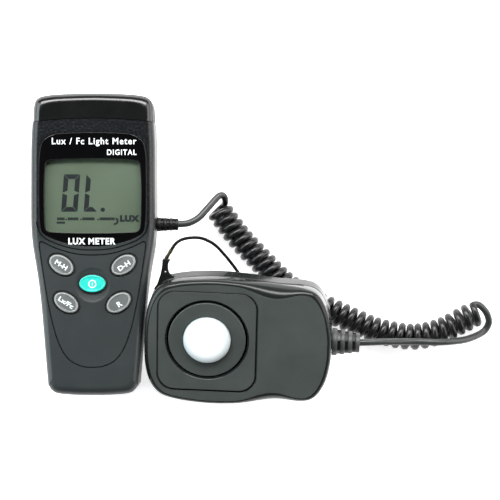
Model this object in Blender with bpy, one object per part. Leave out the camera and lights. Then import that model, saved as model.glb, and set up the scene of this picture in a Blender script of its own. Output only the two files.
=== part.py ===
"""Handheld light meter with a separate sensor head on a curly cord.

World frame: the meter lies on its back on the floor plane z = 0 with its display facing +Z and its end cap
towards +Y. The sensor head lies to its right (+X). The head's north side is propped up by the coil of the
cord that passes under it. Each housing is modelled in the frame of its own empty, x across, y along and
z up from its back face.
"""
import math

import bmesh
import bpy
from mathutils import Matrix, Vector

MM = 0.001
GAP = 0.3 * MM                      # clearance between touching pieces
WALL = 2.0 * MM

# Meter housing
METER_AT = Vector((-51.1, 2.4, 0.0)) * MM
METER_DEPTH = 34.0 * MM
METER_SPLIT = 17.0 * MM             # height of the seam between the two shells
METER_SHOULDER = (4.2 * MM, 5.0 * MM)
METER_HALF_OUTLINE = (              # right half, from the top end round to the bottom end, in mm
    (0, 75.4), (13, 75.1), (22, 74.5), (27.8, 73.0), (29.8, 69.5), (30.3, 61.5), (30.9, 50), (31.0, 38),
    (31.0, 12), (30.4, 2), (29.4, -5), (27.6, -16), (26.1, -28), (24.8, -42), (22.7, -67), (21.9, -71),
    (18.5, -74.2), (10, -75.2), (0, -75.4))
CAP_SEAM_EDGE = 60.4 * MM           # the end cap starts above this line at the sides
CAP_SEAM_CROWN = 1.9 * MM           # and this much higher in the middle
CAP_STEP = 0.4 * MM                 # the cap is this much smaller all round

# Display
BEZEL_HALF_OUTLINE = (
    (0, 55.3), (14, 54.9), (20, 54.0), (24.6, 50.8), (26.3, 45), (26.7, 34), (26.7, 20), (26.3, 10),
    (24.9, 5.4), (19.5, 2.2), (10, -0.5), (0, -1.4))
LENS_SIZE = Vector((48.2, 36.6)) * MM
LENS_CENTRE_Y = 23.9 * MM
BEZEL_THICKNESS = 2.4 * MM

# Push buttons
BUTTON_RADII = Vector((6.5, 4.3)) * MM
BUTTON_CLEARANCE = 0.6 * MM
BUTTON_TILT = math.radians(33)
BUTTON_PROUD = 1.2 * MM
BUTTON_TRAVEL = 0.9 * MM
BUTTONS = {                         # centre across, centre along, tilt
    "button_max_hold": (-15.4, -10.5, -1),
    "button_data_hold": (15.4, -10.5, 1),
    "button_power": (0.0, -19.8, 0),
    "button_unit": (-13.0, -29.2, -1),
    "button_range": (13.0, -29.2, 1),
}

# Inside of the meter
BOARD_Z = 23.2 * MM
BOARD_THICKNESS = 1.6 * MM
BATTERY_SIZE = Vector((26.5, 48.5, 17.2)) * MM
BATTERY_AT = Vector((0.0, -37.5, 3.0)) * MM
DOOR_HALF_WIDTH = 15.0 * MM
DOOR_TOP_Y = -8.5 * MM
DOOR_THICKNESS = 2.2 * MM
METER_CORD_AT = Vector((31.0, 9.8, 17.0)) * MM

# Sensor head
HEAD_AT = Vector((22.2, -40.6, 9.5)) * MM
HEAD_TURN = (math.radians(18.0), math.radians(-2.5), math.radians(-2.3))
HEAD_DEPTH = 27.0 * MM
HEAD_SPLIT = 12.0 * MM
HEAD_SHOULDER = (2.4 * MM, 2.8 * MM)
HEAD_LEAN = 2.4 * MM                # the north wall leans out by this much from the seam to the face
HEAD_HALF_OUTLINE = (               # north half, from the left end round to the right end, in mm
    (-46.6, 0), (-46.0, 12), (-43.6, 21.0), (-38.8, 27.1), (-31, 29.8), (-20, 31.2), (-9, 31.5), (6, 30.5),
    (20, 29.0), (32, 28.6), (39.0, 26.0), (43.8, 18.2), (46.1, 8), (46.5, 0))
SCOOP_X = 18.0 * MM                 # middle of the finger scoops on both long sides
SCOOP_HALF_LENGTH = 20.0 * MM
SCOOP = (4.2 * MM, 5.0 * MM)        # extra inset and extra drop of the shoulder there
FACE_WALL = 4.2 * MM
PANEL_CENTRE = Vector((-15.1, 1.7)) * MM
PANEL_SIZE = Vector((49.0, 51.6)) * MM
PANEL_CORNER = 8.5 * MM
PANEL_THICKNESS = 2.5 * MM
SENSOR_CENTRE = Vector((-15.2, 2.9)) * MM
GROOVE_RADII = (19.6 * MM, 21.1 * MM)
GROOVE_DEPTH = 1.0 * MM
DOME_RADIUS = 11.8 * MM
HEAD_CORD_AT = Vector((46.5, -0.3, 13.0)) * MM
LUG_ROOT = Vector((-37.5, 29.3, 8.0)) * MM
LUG_SKETCH = (                      # tapering tongue with a flared foot and a barb at its tip, in mm
    (-5.3, -7.0), (4.9, -2.8), (4.6, -0.2), (2.7, 0.8), (1.5, 2.1), (1.05, 3.7), (1.0, 6.0), (1.3, 7.6),
    (2.0, 8.7), (1.4, 9.0), (-1.5, 9.0), (-1.9, 7.0), (-2.1, 5.1), (-2.4, 3.0), (-3.0, 0.3), (-3.8, -2.4),
    (-4.6, -4.8))
ANCHOR_AT = Vector((-1.5, 23.6)) * MM

# Cord: route points in mm, from the meter to the sensor head
WIRE_DIAMETER = 3.5 * MM
COIL_DIAMETER = 13.8 * MM
METER_LEAD_ROUTE = (
    (-8.8, 12.2, 17.0), (-4.0, 12.7, 16.8), (0.8, 15.2, 15.6), (4.6, 19.2, 14.2), (8.3, 23.4, 12.8),
    (11.3, 26.5, 11.8), (13.4, 26.7, 10.9), (14.0, 25.6, 9.6))
COIL_ROUTE = (
    (10.7, 20.0), (21.5, 5.6), (32.7, -6.3), (43.6, -17.2), (56.0, -25.8), (69.6, -32.3), (79.0, -36.6),
    (91.8, -41.9), (109.2, -45.0), (123.6, -42.3), (134.2, -37.0), (142.2, -32.8))
COIL_AXIS_Z = 7.0
HEAD_LEAD_ROUTE = (
    (143.2, -28.7, 8.8), (146.4, -31.4, 6.8), (148.5, -34.8, 4.6), (149.0, -38.4, 3.0), (147.0, -42.0, 2.6),
    (143.0, -44.4, 4.4), (136.6, -46.4, 9.0), (129.0, -47.2, 13.3), (121.0, -47.5, 15.7), (112.0, -47.2, 16.5),
    (103.0, -47.1, 18.9), (94.0, -47.0, 22.2), (88.0, -47.1, 23.8), (82.2, -47.2, 24.3))
TETHER_DIAMETER = 1.6 * MM
TETHER_ROUTE = (
    (-11.6, 0.1, 29.4), (-10.0, 2.3, 29.0), (-7.2, 4.2, 28.0), (-2.8, 5.2, 26.0), (3.0, 4.9, 23.0),
    (9.0, 1.9, 19.8), (14.2, -3.4, 17.0), (18.6, -8.9, 15.0), (21.1, -12.6, 14.8), (21.5, -15.4, 15.8))
CRIMP_DIAMETER = 1.8 * MM
CRIMP_ROUTE = ((-14.4, -4.5, 28.5), (-11.9, -0.4, 29.3))

OUTLINE_STEPS = 2                   # straight steps between two points of an outline
SHOULDER_STEPS = 3


# ---------------------------------------------------------------- curves and rings

def smooth_through(points, steps, closed):
    """Points of a Catmull-Rom curve through the given ones."""
    count = len(points)
    last = count if closed else count - 1
    curve = []
    for i in range(last):
        if closed:
            a, b, c, d = (Vector(points[(i + k) % count]) for k in (-1, 0, 1, 2))
        else:
            a, b, c, d = (Vector(points[min(max(i + k, 0), count - 1)]) for k in (-1, 0, 1, 2))
        for step in range(steps):
            t = step / steps
            curve.append(0.5 * (2 * b + (c - a) * t + (2 * a - 5 * b + 4 * c - d) * t ** 2
                                + (3 * b - a - 3 * c + d) * t ** 3))
    if not closed:
        curve.append(Vector(points[-1]))
    return curve


def mirrored(half_points, across, steps=OUTLINE_STEPS):
    """Closed anticlockwise outline in metres from one half; across is the axis index that is mirrored."""
    half = [Vector(p) * MM for p in half_points]
    other = [p.copy() for p in reversed(half[1:-1])]
    for p in other:
        p[across] = -p[across]
    loop = smooth_through(half + other, steps, closed=True)
    return list(reversed(loop))


def ring(outline, z, inset=0.0):
    """The outline at height z, drawn in towards its middle by the inset on each side."""
    xs = [p.x for p in outline]
    ys = [p.y for p in outline]
    middle = Vector((max(xs) + min(xs), max(ys) + min(ys))) / 2
    reach = Vector((max(xs) - min(xs), max(ys) - min(ys))) / 2
    return [Vector((middle.x + (p.x - middle.x) * (1 - inset / reach.x),
                    middle.y + (p.y - middle.y) * (1 - inset / reach.y), z)) for p in outline]


def ellipse(radii, steps, centre=(0, 0), turn=0.0):
    points = []
    for i in range(steps):
        angle = 2 * math.pi * i / steps
        p = Vector((radii[0] * math.cos(angle), radii[1] * math.sin(angle)))
        p.rotate(Matrix.Rotation(turn, 2))
        points.append(p + Vector(centre))
    return points


def rounded_rectangle(size, corner, centre=(0, 0), steps=5):
    points = []
    for quarter, (sx, sy) in enumerate(((1, 1), (-1, 1), (-1, -1), (1, -1))):
        middle = Vector((sx * (size[0] / 2 - corner), sy * (size[1] / 2 - corner))) + Vector(centre)
        for i in range(steps + 1):
            angle = math.radians(90 * (quarter + i / steps))
            points.append(middle + corner * Vector((math.cos(angle), math.sin(angle))))
    return points


# ---------------------------------------------------------------- solids

def new_object(name, mesh):
    mesh.shade_smooth()
    mesh.set_sharp_from_angle(angle=math.radians(35))
    solid = bpy.data.objects.new(name, mesh)
    bpy.context.collection.objects.link(solid)
    return solid


def loft(name, rings):
    """Closed solid through rings of equal count, lowest first, each anticlockwise from above."""
    shape = bmesh.new()
    loops = [[shape.verts.new(p) for p in points] for points in rings]
    count = len(loops[0])
    for lower, upper in zip(loops, loops[1:]):
        for i in range(count):
            j = (i + 1) % count
            shape.faces.new((lower[i], lower[j], upper[j], upper[i]))
    shape.faces.new(list(reversed(loops[0])))
    shape.faces.new(loops[-1])
    mesh = bpy.data.meshes.new(name)
    shape.to_mesh(mesh)
    shape.free()
    return new_object(name, mesh)


def prism(name, outline, low, high):
    return loft(name, [[Vector((p[0], p[1], z)) for p in outline] for z in (low, high)])


def block(name, size, centre, low, corner=0.0):
    """Upright block on the height low."""
    if corner:
        outline = rounded_rectangle(size, corner, centre, steps=3)
    else:
        outline = [Vector((centre[0] + sx * size[0] / 2, centre[1] + sy * size[1] / 2))
                   for sx, sy in ((1, 1), (-1, 1), (-1, -1), (1, -1))]
    return prism(name, outline, low, low + size[2])


def turned(name, profile, segments, centre=(0, 0)):
    """Solid of revolution about z; profile is (radius, height) from the lowest ring up."""
    return loft(name, [[Vector((p.x, p.y, height)) for p in ellipse((radius, radius), segments, centre)]
                       for radius, height in profile])


def lay_along_x(solid, at):
    """Turn a solid made along z so that it points along +x from the point at."""
    solid.data.transform(Matrix.Translation(at) @ Matrix.Rotation(math.pi / 2, 4, "Y"))
    return solid


def tube(name, route, diameter, steps):
    """Round tube along a smooth curve through the route's points, with filled caps."""
    points = smooth_through([Vector(p) * MM for p in route], steps, closed=False)
    curve = bpy.data.curves.new(name, "CURVE")
    curve.dimensions = "3D"
    curve.bevel_depth = diameter / 2
    curve.bevel_resolution = 2
    curve.use_fill_caps = True
    spline = curve.splines.new("POLY")
    spline.points.add(len(points) - 1)
    for target, p in zip(spline.points, points):
        target.co = (*p, 1.0)
    cable = bpy.data.objects.new(name, curve)
    bpy.context.collection.objects.link(cable)
    return cable


def combine(target, tool, operation):
    """Boolean of target with tool; the tool stays as a hidden guide."""
    step = target.modifiers.new(operation.lower() + "_" + tool.name, "BOOLEAN")
    step.operation = operation
    step.solver = "EXACT"
    step.object = tool
    tool.hide_render = True
    tool.display_type = "WIRE"
    tool.parent = target.parent
    return target


def cut(target, *tools):
    for tool in tools:
        combine(target, tool, "DIFFERENCE")


def finish(solid, frame, colour, roughness, metallic=0.0):
    """Give a sub-part its own material and hang it and its guides on the frame of its housing."""
    material = bpy.data.materials.new(solid.name)
    material.use_nodes = True
    shader = material.node_tree.nodes["Principled BSDF"]
    shader.inputs["Base Color"].default_value = (*colour, 1.0)
    shader.inputs["Roughness"].default_value = roughness
    shader.inputs["Metallic"].default_value = metallic
    solid.data.materials.append(material)
    solid.parent = frame
    for step in solid.modifiers:
        step.object.parent = frame
    return solid


def empty(name, location, rotation=(0, 0, 0)):
    frame = bpy.data.objects.new(name, None)
    frame.location = location
    frame.rotation_euler = rotation
    bpy.context.collection.objects.link(frame)
    return frame


BLACK = (0.012, 0.012, 0.013)
CHARCOAL = (0.045, 0.050, 0.052)
GREY = (0.22, 0.23, 0.23)
BOARD_GREEN = (0.02, 0.16, 0.07)
STEEL = (0.55, 0.55, 0.56)
BRASS = (0.70, 0.52, 0.22)
WHITE = (0.85, 0.88, 0.87)


# ---------------------------------------------------------------- meter housing

METER_OUTLINE = mirrored(METER_HALF_OUTLINE, 0)
BEZEL_OUTLINE = mirrored(BEZEL_HALF_OUTLINE, 0)


def shoulder_rings(outline, top, inset, drop, extra=0.0):
    """Quarter-round edge up to the height top, from the full outline to the drawn-in one."""
    rings = []
    for i in range(SHOULDER_STEPS + 1):
        angle = math.pi / 2 * i / SHOULDER_STEPS
        rings.append(ring(outline, top - drop * (1 - math.sin(angle)),
                          extra + inset * (1 - math.cos(angle))))
    return rings


def foot_rings(outline, inset, drop, extra=0.0):
    """The same edge round the back face at z = 0."""
    rings = shoulder_rings(outline, 0.0, inset, drop, extra)
    return [[Vector((p.x, p.y, -p.z)) for p in points] for points in reversed(rings)]


def meter_block(name, low=None, high=None, extra=0.0):
    """The whole meter's outer form, or the part of it below or above the seam."""
    rings = []
    if low is None:
        rings += foot_rings(METER_OUTLINE, *METER_SHOULDER, extra)
    else:
        rings.append(ring(METER_OUTLINE, low, extra))
    if high is None:
        rings += shoulder_rings(METER_OUTLINE, METER_DEPTH, *METER_SHOULDER, extra)
    else:
        rings.append(ring(METER_OUTLINE, high, extra))
    return loft(name, rings)


def cavity(name, outline, low, high, extra=WALL):
    """Hollow with drawn-in corners between two heights."""
    edge = 3.0 * MM
    return loft(name, [ring(outline, low, extra + edge), ring(outline, low + edge, extra),
                       ring(outline, high - edge, extra), ring(outline, high, extra + edge)])


def beyond_seam(name, offset, beyond=True):
    """Everything on one side of the arched seam line of the end cap, moved by the offset along y."""
    far = 90 * MM
    reach = 40 * MM
    arch = []
    for i in range(13):
        x = -reach + 2 * reach * i / 12
        rise = CAP_SEAM_CROWN * (1 - (x / (31 * MM)) ** 2)
        arch.append(Vector((x, CAP_SEAM_EDGE + offset + rise)))
    if beyond:
        outline = arch + [Vector((reach, far)), Vector((-reach, far))]
    else:
        outline = [Vector((-reach, -far)), Vector((reach, -far))] + list(reversed(arch))
    return prism(name, outline, -10 * MM, 50 * MM)


def end_cap(frame):
    """Glossy cap over the top end, open towards the shells."""
    cap = meter_block("end_cap", extra=CAP_STEP)
    cut(cap, beyond_seam("cap_seam_side", GAP / 2, beyond=False),
        cavity("cap_hollow", METER_OUTLINE, WALL, METER_DEPTH - WALL, CAP_STEP + WALL))
    return finish(cap, frame, BLACK, 0.18)


CASE_SCREWS = ((-18.6, -62.5), (18.6, -62.5), (-26.2, 56.6), (26.2, 56.6))


def boss(name, x, y, low, high, radius):
    return turned(name, [(radius, low), (radius, high)], 16, (x, y))


def meter_front_shell(frame):
    shell = meter_block("meter_front_shell", low=METER_SPLIT + GAP / 2)
    cut(shell, cavity("front_hollow", METER_OUTLINE, 6 * MM, METER_DEPTH - WALL),
        beyond_seam("front_cap_seam", -GAP / 2),
        prism("display_opening", ring(BEZEL_OUTLINE, 0, -GAP), 28 * MM, 40 * MM))
    for name, (x, y, side) in BUTTONS.items():
        radii = BUTTON_RADII + Vector((1, 1)) * BUTTON_CLEARANCE
        hole = ellipse(radii, 24, (x * MM, y * MM), side * BUTTON_TILT)
        cut(shell, prism("hole_" + name, hole, 28 * MM, 40 * MM))
    boss_top = METER_DEPTH - 1.3 * WALL
    for i, (x, y) in enumerate(CASE_SCREWS):
        post = boss("front_boss_%d" % i, x * MM, y * MM, METER_SPLIT + GAP / 2, boss_top, 2.9 * MM)
        combine(shell, post, "UNION")
        cut(shell, boss("front_boss_hole_%d" % i, x * MM, y * MM, 10 * MM, 26 * MM, 1.4 * MM))
    cut(shell, cord_hole("front_cord_hole", METER_CORD_AT, 2.9 * MM))
    return finish(shell, frame, CHARCOAL, 0.45)


def meter_rear_shell(frame):
    shell = meter_block("meter_rear_shell", high=METER_SPLIT - GAP / 2)
    door_way = (2 * (DOOR_HALF_WIDTH + GAP), 100 * MM, DOOR_THICKNESS + GAP + 10 * MM)
    cut(shell, cavity("rear_hollow", METER_OUTLINE, WALL, 30 * MM),
        beyond_seam("rear_cap_seam", -GAP / 2),
        block("door_way", door_way, (0, DOOR_TOP_Y + GAP - 50 * MM), -10 * MM))
    for i, (x, y) in enumerate(CASE_SCREWS):
        post = boss("rear_boss_%d" % i, x * MM, y * MM, WALL / 2, METER_SPLIT - GAP / 2, 2.9 * MM)
        combine(shell, post, "UNION")
        cut(shell, boss("rear_boss_hole_%d" % i, x * MM, y * MM, -1 * MM, 20 * MM, 1.7 * MM),
            boss("rear_boss_sink_%d" % i, x * MM, y * MM, -1 * MM, 3.2 * MM, 2.5 * MM))
    cut(shell, cord_hole("rear_cord_hole", METER_CORD_AT, 2.9 * MM))
    return finish(shell, frame, CHARCOAL, 0.45)


def cord_hole(name, at, radius):
    """Round hole through a side wall for a cord's strain relief."""
    return lay_along_x(turned(name, [(radius, -8 * MM), (radius, 8 * MM)], 20), at)


def battery_door(frame):
    """Sliding cover in the lower back; its outer side is the housing's own form."""
    door = meter_block("battery_door")
    keep = (2 * DOOR_HALF_WIDTH, 100 * MM, 10 * MM + DOOR_THICKNESS)
    combine(door, block("door_keep", keep, (0, DOOR_TOP_Y - 50 * MM), -10 * MM), "INTERSECT")
    for i in range(3):
        groove = (16 * MM, 1.2 * MM, 1.0 * MM)
        cut(door, block("door_grip_%d" % i, groove, (0, (-17 - 3 * i) * MM), -0.5 * MM))
    return finish(door, frame, CHARCOAL, 0.45)


def display(frame):
    """Glossy window frame, clear window, LCD, its holder and the connector strip."""
    bezel_top = METER_DEPTH - 0.1 * MM
    bezel = prism("display_bezel", BEZEL_OUTLINE, bezel_top - BEZEL_THICKNESS, bezel_top)
    opening = rounded_rectangle(LENS_SIZE, 2 * MM, (0, LENS_CENTRE_Y))
    cut(bezel, prism("lens_opening", opening, 25 * MM, 40 * MM))
    finish(bezel, frame, BLACK, 0.08)

    lens_size = (LENS_SIZE[0] - 2 * GAP, LENS_SIZE[1] - 2 * GAP)
    lens_outline = rounded_rectangle(lens_size, 2 * MM - GAP, (0, LENS_CENTRE_Y))
    lens = prism("display_lens", lens_outline, bezel_top - 1.8 * MM, bezel_top - 0.2 * MM)
    finish(lens, frame, WHITE, 0.05)

    glass_low = 28.3 * MM
    lcd = block("lcd_panel", (51 * MM, 40 * MM, 2.4 * MM), (0, LENS_CENTRE_Y), glass_low)
    finish(lcd, frame, (0.18, 0.23, 0.16), 0.25)

    holder_low = BOARD_Z + BOARD_THICKNESS + GAP
    holder_size = (53.4 * MM, 43.6 * MM, glass_low + 1.4 * MM - holder_low)
    holder = block("lcd_holder", holder_size, (0, LENS_CENTRE_Y), holder_low)
    cut(holder, block("holder_seat", (51.6 * MM, 40.6 * MM, 10 * MM), (0, LENS_CENTRE_Y), glass_low - GAP),
        block("holder_window", (46 * MM, 30 * MM, 20 * MM), (0, LENS_CENTRE_Y + 1 * MM), 20 * MM))
    finish(holder, frame, WHITE, 0.5)

    strip_size = (44 * MM, 2.0 * MM, glass_low - holder_low - 2 * GAP)
    strip = block("lcd_connector_strip", strip_size, (0, LENS_CENTRE_Y - 12.0 * MM), holder_low + GAP)
    finish(strip, frame, (0.30, 0.12, 0.16), 0.6)


def buttons(frame):
    """Oval push buttons with a flange under the front wall."""
    flange_low = METER_DEPTH - WALL - 1.6 * MM
    for name, (x, y, side) in BUTTONS.items():
        steps = 24
        flange = BUTTON_RADII + Vector((1, 1)) * (BUTTON_CLEARANCE + 0.5 * MM)
        rim = BUTTON_RADII - Vector((1, 1)) * 0.7 * MM
        levels = ((flange, flange_low), (flange, METER_DEPTH - WALL - 0.4 * MM),
                  (BUTTON_RADII, METER_DEPTH - WALL - 0.35 * MM),
                  (BUTTON_RADII, METER_DEPTH + BUTTON_PROUD - 0.6 * MM), (rim, METER_DEPTH + BUTTON_PROUD))
        button = loft(name, [[Vector((p.x, p.y, z)) for p in ellipse(radii, steps)] for radii, z in levels])
        button.location = (x * MM, y * MM, 0)
        button.rotation_euler.z = side * BUTTON_TILT
        colour = (0.05, 0.80, 0.66) if name == "button_power" else GREY
        finish(button, frame, colour, 0.4)


def key_mat(frame):
    """Rubber mat on the board with a dome under each button, clear of the pressed button."""
    low = BOARD_Z + BOARD_THICKNESS + GAP
    mat = block("key_mat", (44 * MM, 32 * MM, 1.4 * MM), (0, -19.8 * MM), low, corner=3 * MM)
    dome_top = METER_DEPTH - WALL - 1.6 * MM - BUTTON_TRAVEL - GAP
    for name, (x, y, side) in BUTTONS.items():
        dome = turned("dome_" + name, [(3.2 * MM, low + 0.7 * MM), (3.2 * MM, low + 2.2 * MM), (2.2 * MM, dome_top)],
                      16, (x * MM, y * MM))
        combine(mat, dome, "UNION")
    finish(mat, frame, (0.25, 0.26, 0.28), 0.7)


def boards_and_chips(frame):
    """Main board with its chip, trimmer and two screws."""
    outline = ring(METER_OUTLINE, 0, 5.2 * MM)
    board = prism("main_board", outline, BOARD_Z, BOARD_Z + BOARD_THICKNESS)
    cut(board, beyond_seam("board_end", -3 * MM))
    for i, (x, y) in enumerate(CASE_SCREWS):
        cut(board, boss("board_notch_%d" % i, x * MM, y * MM, 20 * MM, 30 * MM, 3.4 * MM))
    board_screws = ((-18.0, -44.0), (18.0, -44.0))
    for i, (x, y) in enumerate(board_screws):
        cut(board, boss("board_hole_%d" % i, x * MM, y * MM, 20 * MM, 30 * MM, 1.3 * MM))
    finish(board, frame, BOARD_GREEN, 0.4)
    for i, (x, y) in enumerate(board_screws):
        low = BOARD_Z - 3.0 * MM
        profile = [(1.0 * MM, low), (1.0 * MM, BOARD_Z + BOARD_THICKNESS + GAP),
                   (2.0 * MM, BOARD_Z + BOARD_THICKNESS + GAP + 0.01 * MM), (1.6 * MM, BOARD_Z + 3.2 * MM)]
        finish(turned("board_screw_%d" % (i + 1), profile, 12, (x * MM, y * MM)), frame, STEEL, 0.3, 1.0)
    under = BOARD_Z - GAP
    chip = block("measuring_chip", (14 * MM, 14 * MM, 1.6 * MM), (0, 30 * MM), under - 1.6 * MM)
    finish(chip, frame, BLACK, 0.4)
    trimmer = block("trimmer", (6.5 * MM, 6.5 * MM, 4.5 * MM), (-14 * MM, 44 * MM), under - 4.5 * MM)
    finish(trimmer, frame, (0.03, 0.12, 0.42), 0.4)


def battery_parts(frame):
    """9 V battery, its snap connector and the foam pad that holds it."""
    x, y, low = BATTERY_AT
    battery = block("battery", BATTERY_SIZE, (x, y), low, corner=2.5 * MM)
    finish(battery, frame, (0.05, 0.05, 0.06), 0.35, 0.4)
    snap_y = y + BATTERY_SIZE[1] / 2 + GAP + 2.2 * MM
    snap = block("battery_snap", (25 * MM, 4.4 * MM, 13 * MM), (x, snap_y), low + 2 * MM, corner=1.5 * MM)
    finish(snap, frame, BLACK, 0.5)
    pad_low = low + BATTERY_SIZE[2] + GAP
    pad = block("battery_foam", (22 * MM, 36 * MM, BOARD_Z - 2 * GAP - pad_low), (x, y), pad_low)
    finish(pad, frame, (0.06, 0.06, 0.065), 0.9)


def case_screws(name, frame, places, low, length, radius):
    """Countersunk screws from the back, heads at the height low."""
    for i, (x, y) in enumerate(places):
        profile = [(2.2 * MM, low), (2.2 * MM, low + 1.0 * MM), (radius, low + 1.2 * MM), (radius, low + length)]
        screw = turned("%s_%d" % (name, i + 1), profile, 12, (x * MM, y * MM))
        slot = block("%s_slot_%d" % (name, i), (3.0 * MM, 0.6 * MM, 1.0 * MM), (x * MM, y * MM), low - 0.5 * MM)
        cut(screw, slot)
        finish(screw, frame, STEEL, 0.3, 1.0)


def strain_relief(name, frame, at, neck, ribs, bore, flange, length, root_radius, tip_radius):
    """Ribbed sleeve along +x: a flange inside the wall, a neck through it and a row of ribs outside."""
    profile = [(flange, -4.2 * MM), (flange, -3.0 * MM), (neck, -2.9 * MM), (neck, 0.6 * MM)]
    pitch = length / ribs
    for i in range(ribs):
        radius = root_radius + (tip_radius - root_radius) * i / (ribs - 1)
        start = 0.7 * MM + i * pitch
        profile += [(radius, start), (radius, start + 0.55 * pitch)]
        if i < ribs - 1:
            profile += [(0.82 * radius, start + 0.6 * pitch), (0.82 * radius, start + 0.95 * pitch)]
    sleeve = lay_along_x(turned(name, profile, 16), at)
    inner = [(bore, -8 * MM), (bore, 3 * MM)]
    cut(sleeve, lay_along_x(turned(name + "_bore", inner, 10), at))
    return finish(sleeve, frame, BLACK, 0.55)


# ---------------------------------------------------------------- sensor head

HEAD_OUTLINE = mirrored(HEAD_HALF_OUTLINE, 1, steps=3)


def scoop_share(x):
    """How deep the finger scoop is at x: 1 in its middle, 0 outside it."""
    distance = abs(x - SCOOP_X) / SCOOP_HALF_LENGTH
    if distance >= 1:
        return 0.0
    return 0.5 + 0.5 * math.cos(math.pi * distance)


def head_shoulder_rings():
    """Rounded upper edge, wider and deeper in the finger scoops of the two long sides."""
    reach_x = max(p.x for p in HEAD_OUTLINE)
    reach_y = max(p.y for p in HEAD_OUTLINE)
    rings = []
    for i in range(SHOULDER_STEPS + 1):
        angle = math.pi / 2 * i / SHOULDER_STEPS
        points = []
        for p in HEAD_OUTLINE:
            share = scoop_share(p.x)
            inset = 1 - math.cos(angle)
            drop = (HEAD_SHOULDER[1] + SCOOP[1] * share) * (1 - math.sin(angle))
            x = p.x * (1 - HEAD_SHOULDER[0] * inset / reach_x)
            y = p.y * (1 - (HEAD_SHOULDER[0] + SCOOP[0] * share) * inset / reach_y)
            y += HEAD_LEAN * max(p.y, 0.0) / reach_y
            points.append(Vector((x, y, HEAD_DEPTH - drop)))
        rings.append(points)
    return rings


HEAD_SCREWS = ((-38.0, -17.0), (-38.0, 17.0), (37.0, -18.0), (37.0, 18.0))


def head_front_shell(frame):
    shell = loft("head_front_shell", [ring(HEAD_OUTLINE, HEAD_SPLIT + GAP / 2)] + head_shoulder_rings())
    face_low = HEAD_DEPTH - FACE_WALL
    pocket_size = PANEL_SIZE + Vector((2, 2)) * GAP
    pocket = rounded_rectangle(pocket_size, PANEL_CORNER + GAP, PANEL_CENTRE)
    sensor_hole = ellipse((20.4 * MM, 20.4 * MM), 40, SENSOR_CENTRE)
    cut(shell, cavity("head_front_hollow", HEAD_OUTLINE, 4 * MM, face_low, extra=2.6 * MM),
        prism("panel_pocket", pocket, HEAD_DEPTH - PANEL_THICKNESS - GAP, 40 * MM),
        prism("sensor_hole", sensor_hole, 15 * MM, 40 * MM))
    for i, (x, y) in enumerate(HEAD_SCREWS):
        post = boss("head_boss_%d" % i, x * MM, y * MM, HEAD_SPLIT + GAP / 2, face_low + 1 * MM, 2.9 * MM)
        combine(shell, post, "UNION")
        cut(shell, boss("head_boss_hole_%d" % i, x * MM, y * MM, 8 * MM, 20 * MM, 1.4 * MM))
    cut(shell, cord_hole("head_front_cord_hole", HEAD_CORD_AT, 4.2 * MM))
    return finish(shell, frame, CHARCOAL, 0.5)


def head_rear_shell(frame):
    rings = foot_rings(HEAD_OUTLINE, 4.5 * MM, 4.0 * MM) + [ring(HEAD_OUTLINE, HEAD_SPLIT - GAP / 2)]
    shell = loft("head_rear_shell", rings)
    cut(shell, cavity("head_rear_hollow", HEAD_OUTLINE, WALL, 30 * MM, extra=2.6 * MM))
    for i, (x, y) in enumerate(HEAD_SCREWS):
        post = boss("head_rear_boss_%d" % i, x * MM, y * MM, WALL / 2, HEAD_SPLIT - GAP / 2, 2.9 * MM)
        combine(shell, post, "UNION")
        cut(shell, boss("head_rear_hole_%d" % i, x * MM, y * MM, -1 * MM, 20 * MM, 1.7 * MM),
            boss("head_rear_sink_%d" % i, x * MM, y * MM, -1 * MM, 2.6 * MM, 2.5 * MM))
    cut(shell, cord_hole("head_rear_cord_hole", HEAD_CORD_AT, 4.2 * MM))
    return finish(shell, frame, CHARCOAL, 0.5)


def sensor_window(frame):
    """Rounded square panel, the ring set into it and the white dome in the ring."""
    top = HEAD_DEPTH
    panel = prism("sensor_panel", rounded_rectangle(PANEL_SIZE, PANEL_CORNER, PANEL_CENTRE),
                  top - PANEL_THICKNESS, top)
    cut(panel, prism("panel_hole", ellipse((19.9 * MM, 19.9 * MM), 40, SENSOR_CENTRE), 20 * MM, 40 * MM),
        prism("panel_step", ellipse((GROOVE_RADII[1],) * 2, 40, SENSOR_CENTRE), top - GROOVE_DEPTH, 40 * MM))
    finish(panel, frame, CHARCOAL, 0.5)

    dome_hole = DOME_RADIUS + GAP
    sensor_ring = turned("sensor_ring", [(GROOVE_RADII[0], top - 4.0 * MM), (GROOVE_RADII[0], top - 0.4 * MM),
                                         (GROOVE_RADII[0] - 0.3 * MM, top - 0.1 * MM)], 40, SENSOR_CENTRE)
    cut(sensor_ring, prism("ring_hole", ellipse((dome_hole, dome_hole), 32, SENSOR_CENTRE), 20 * MM, 40 * MM))
    finish(sensor_ring, frame, CHARCOAL, 0.5)

    base = top - 4.0 * MM
    outer = [(DOME_RADIUS, base), (DOME_RADIUS, top + 0.6 * MM), (11.2 * MM, top + 1.9 * MM),
             (9.6 * MM, top + 3.0 * MM), (6.6 * MM, top + 3.8 * MM), (3.0 * MM, top + 4.2 * MM)]
    inner = [(10.4 * MM, base - 1 * MM), (10.4 * MM, top + 0.4 * MM), (8.6 * MM, top + 1.7 * MM),
             (3.0 * MM, top + 2.8 * MM)]
    dome = turned("diffuser_dome", outer, 32, SENSOR_CENTRE)
    cut(dome, turned("dome_hollow", inner, 24, SENSOR_CENTRE))
    finish(dome, frame, WHITE, 0.35)


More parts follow.
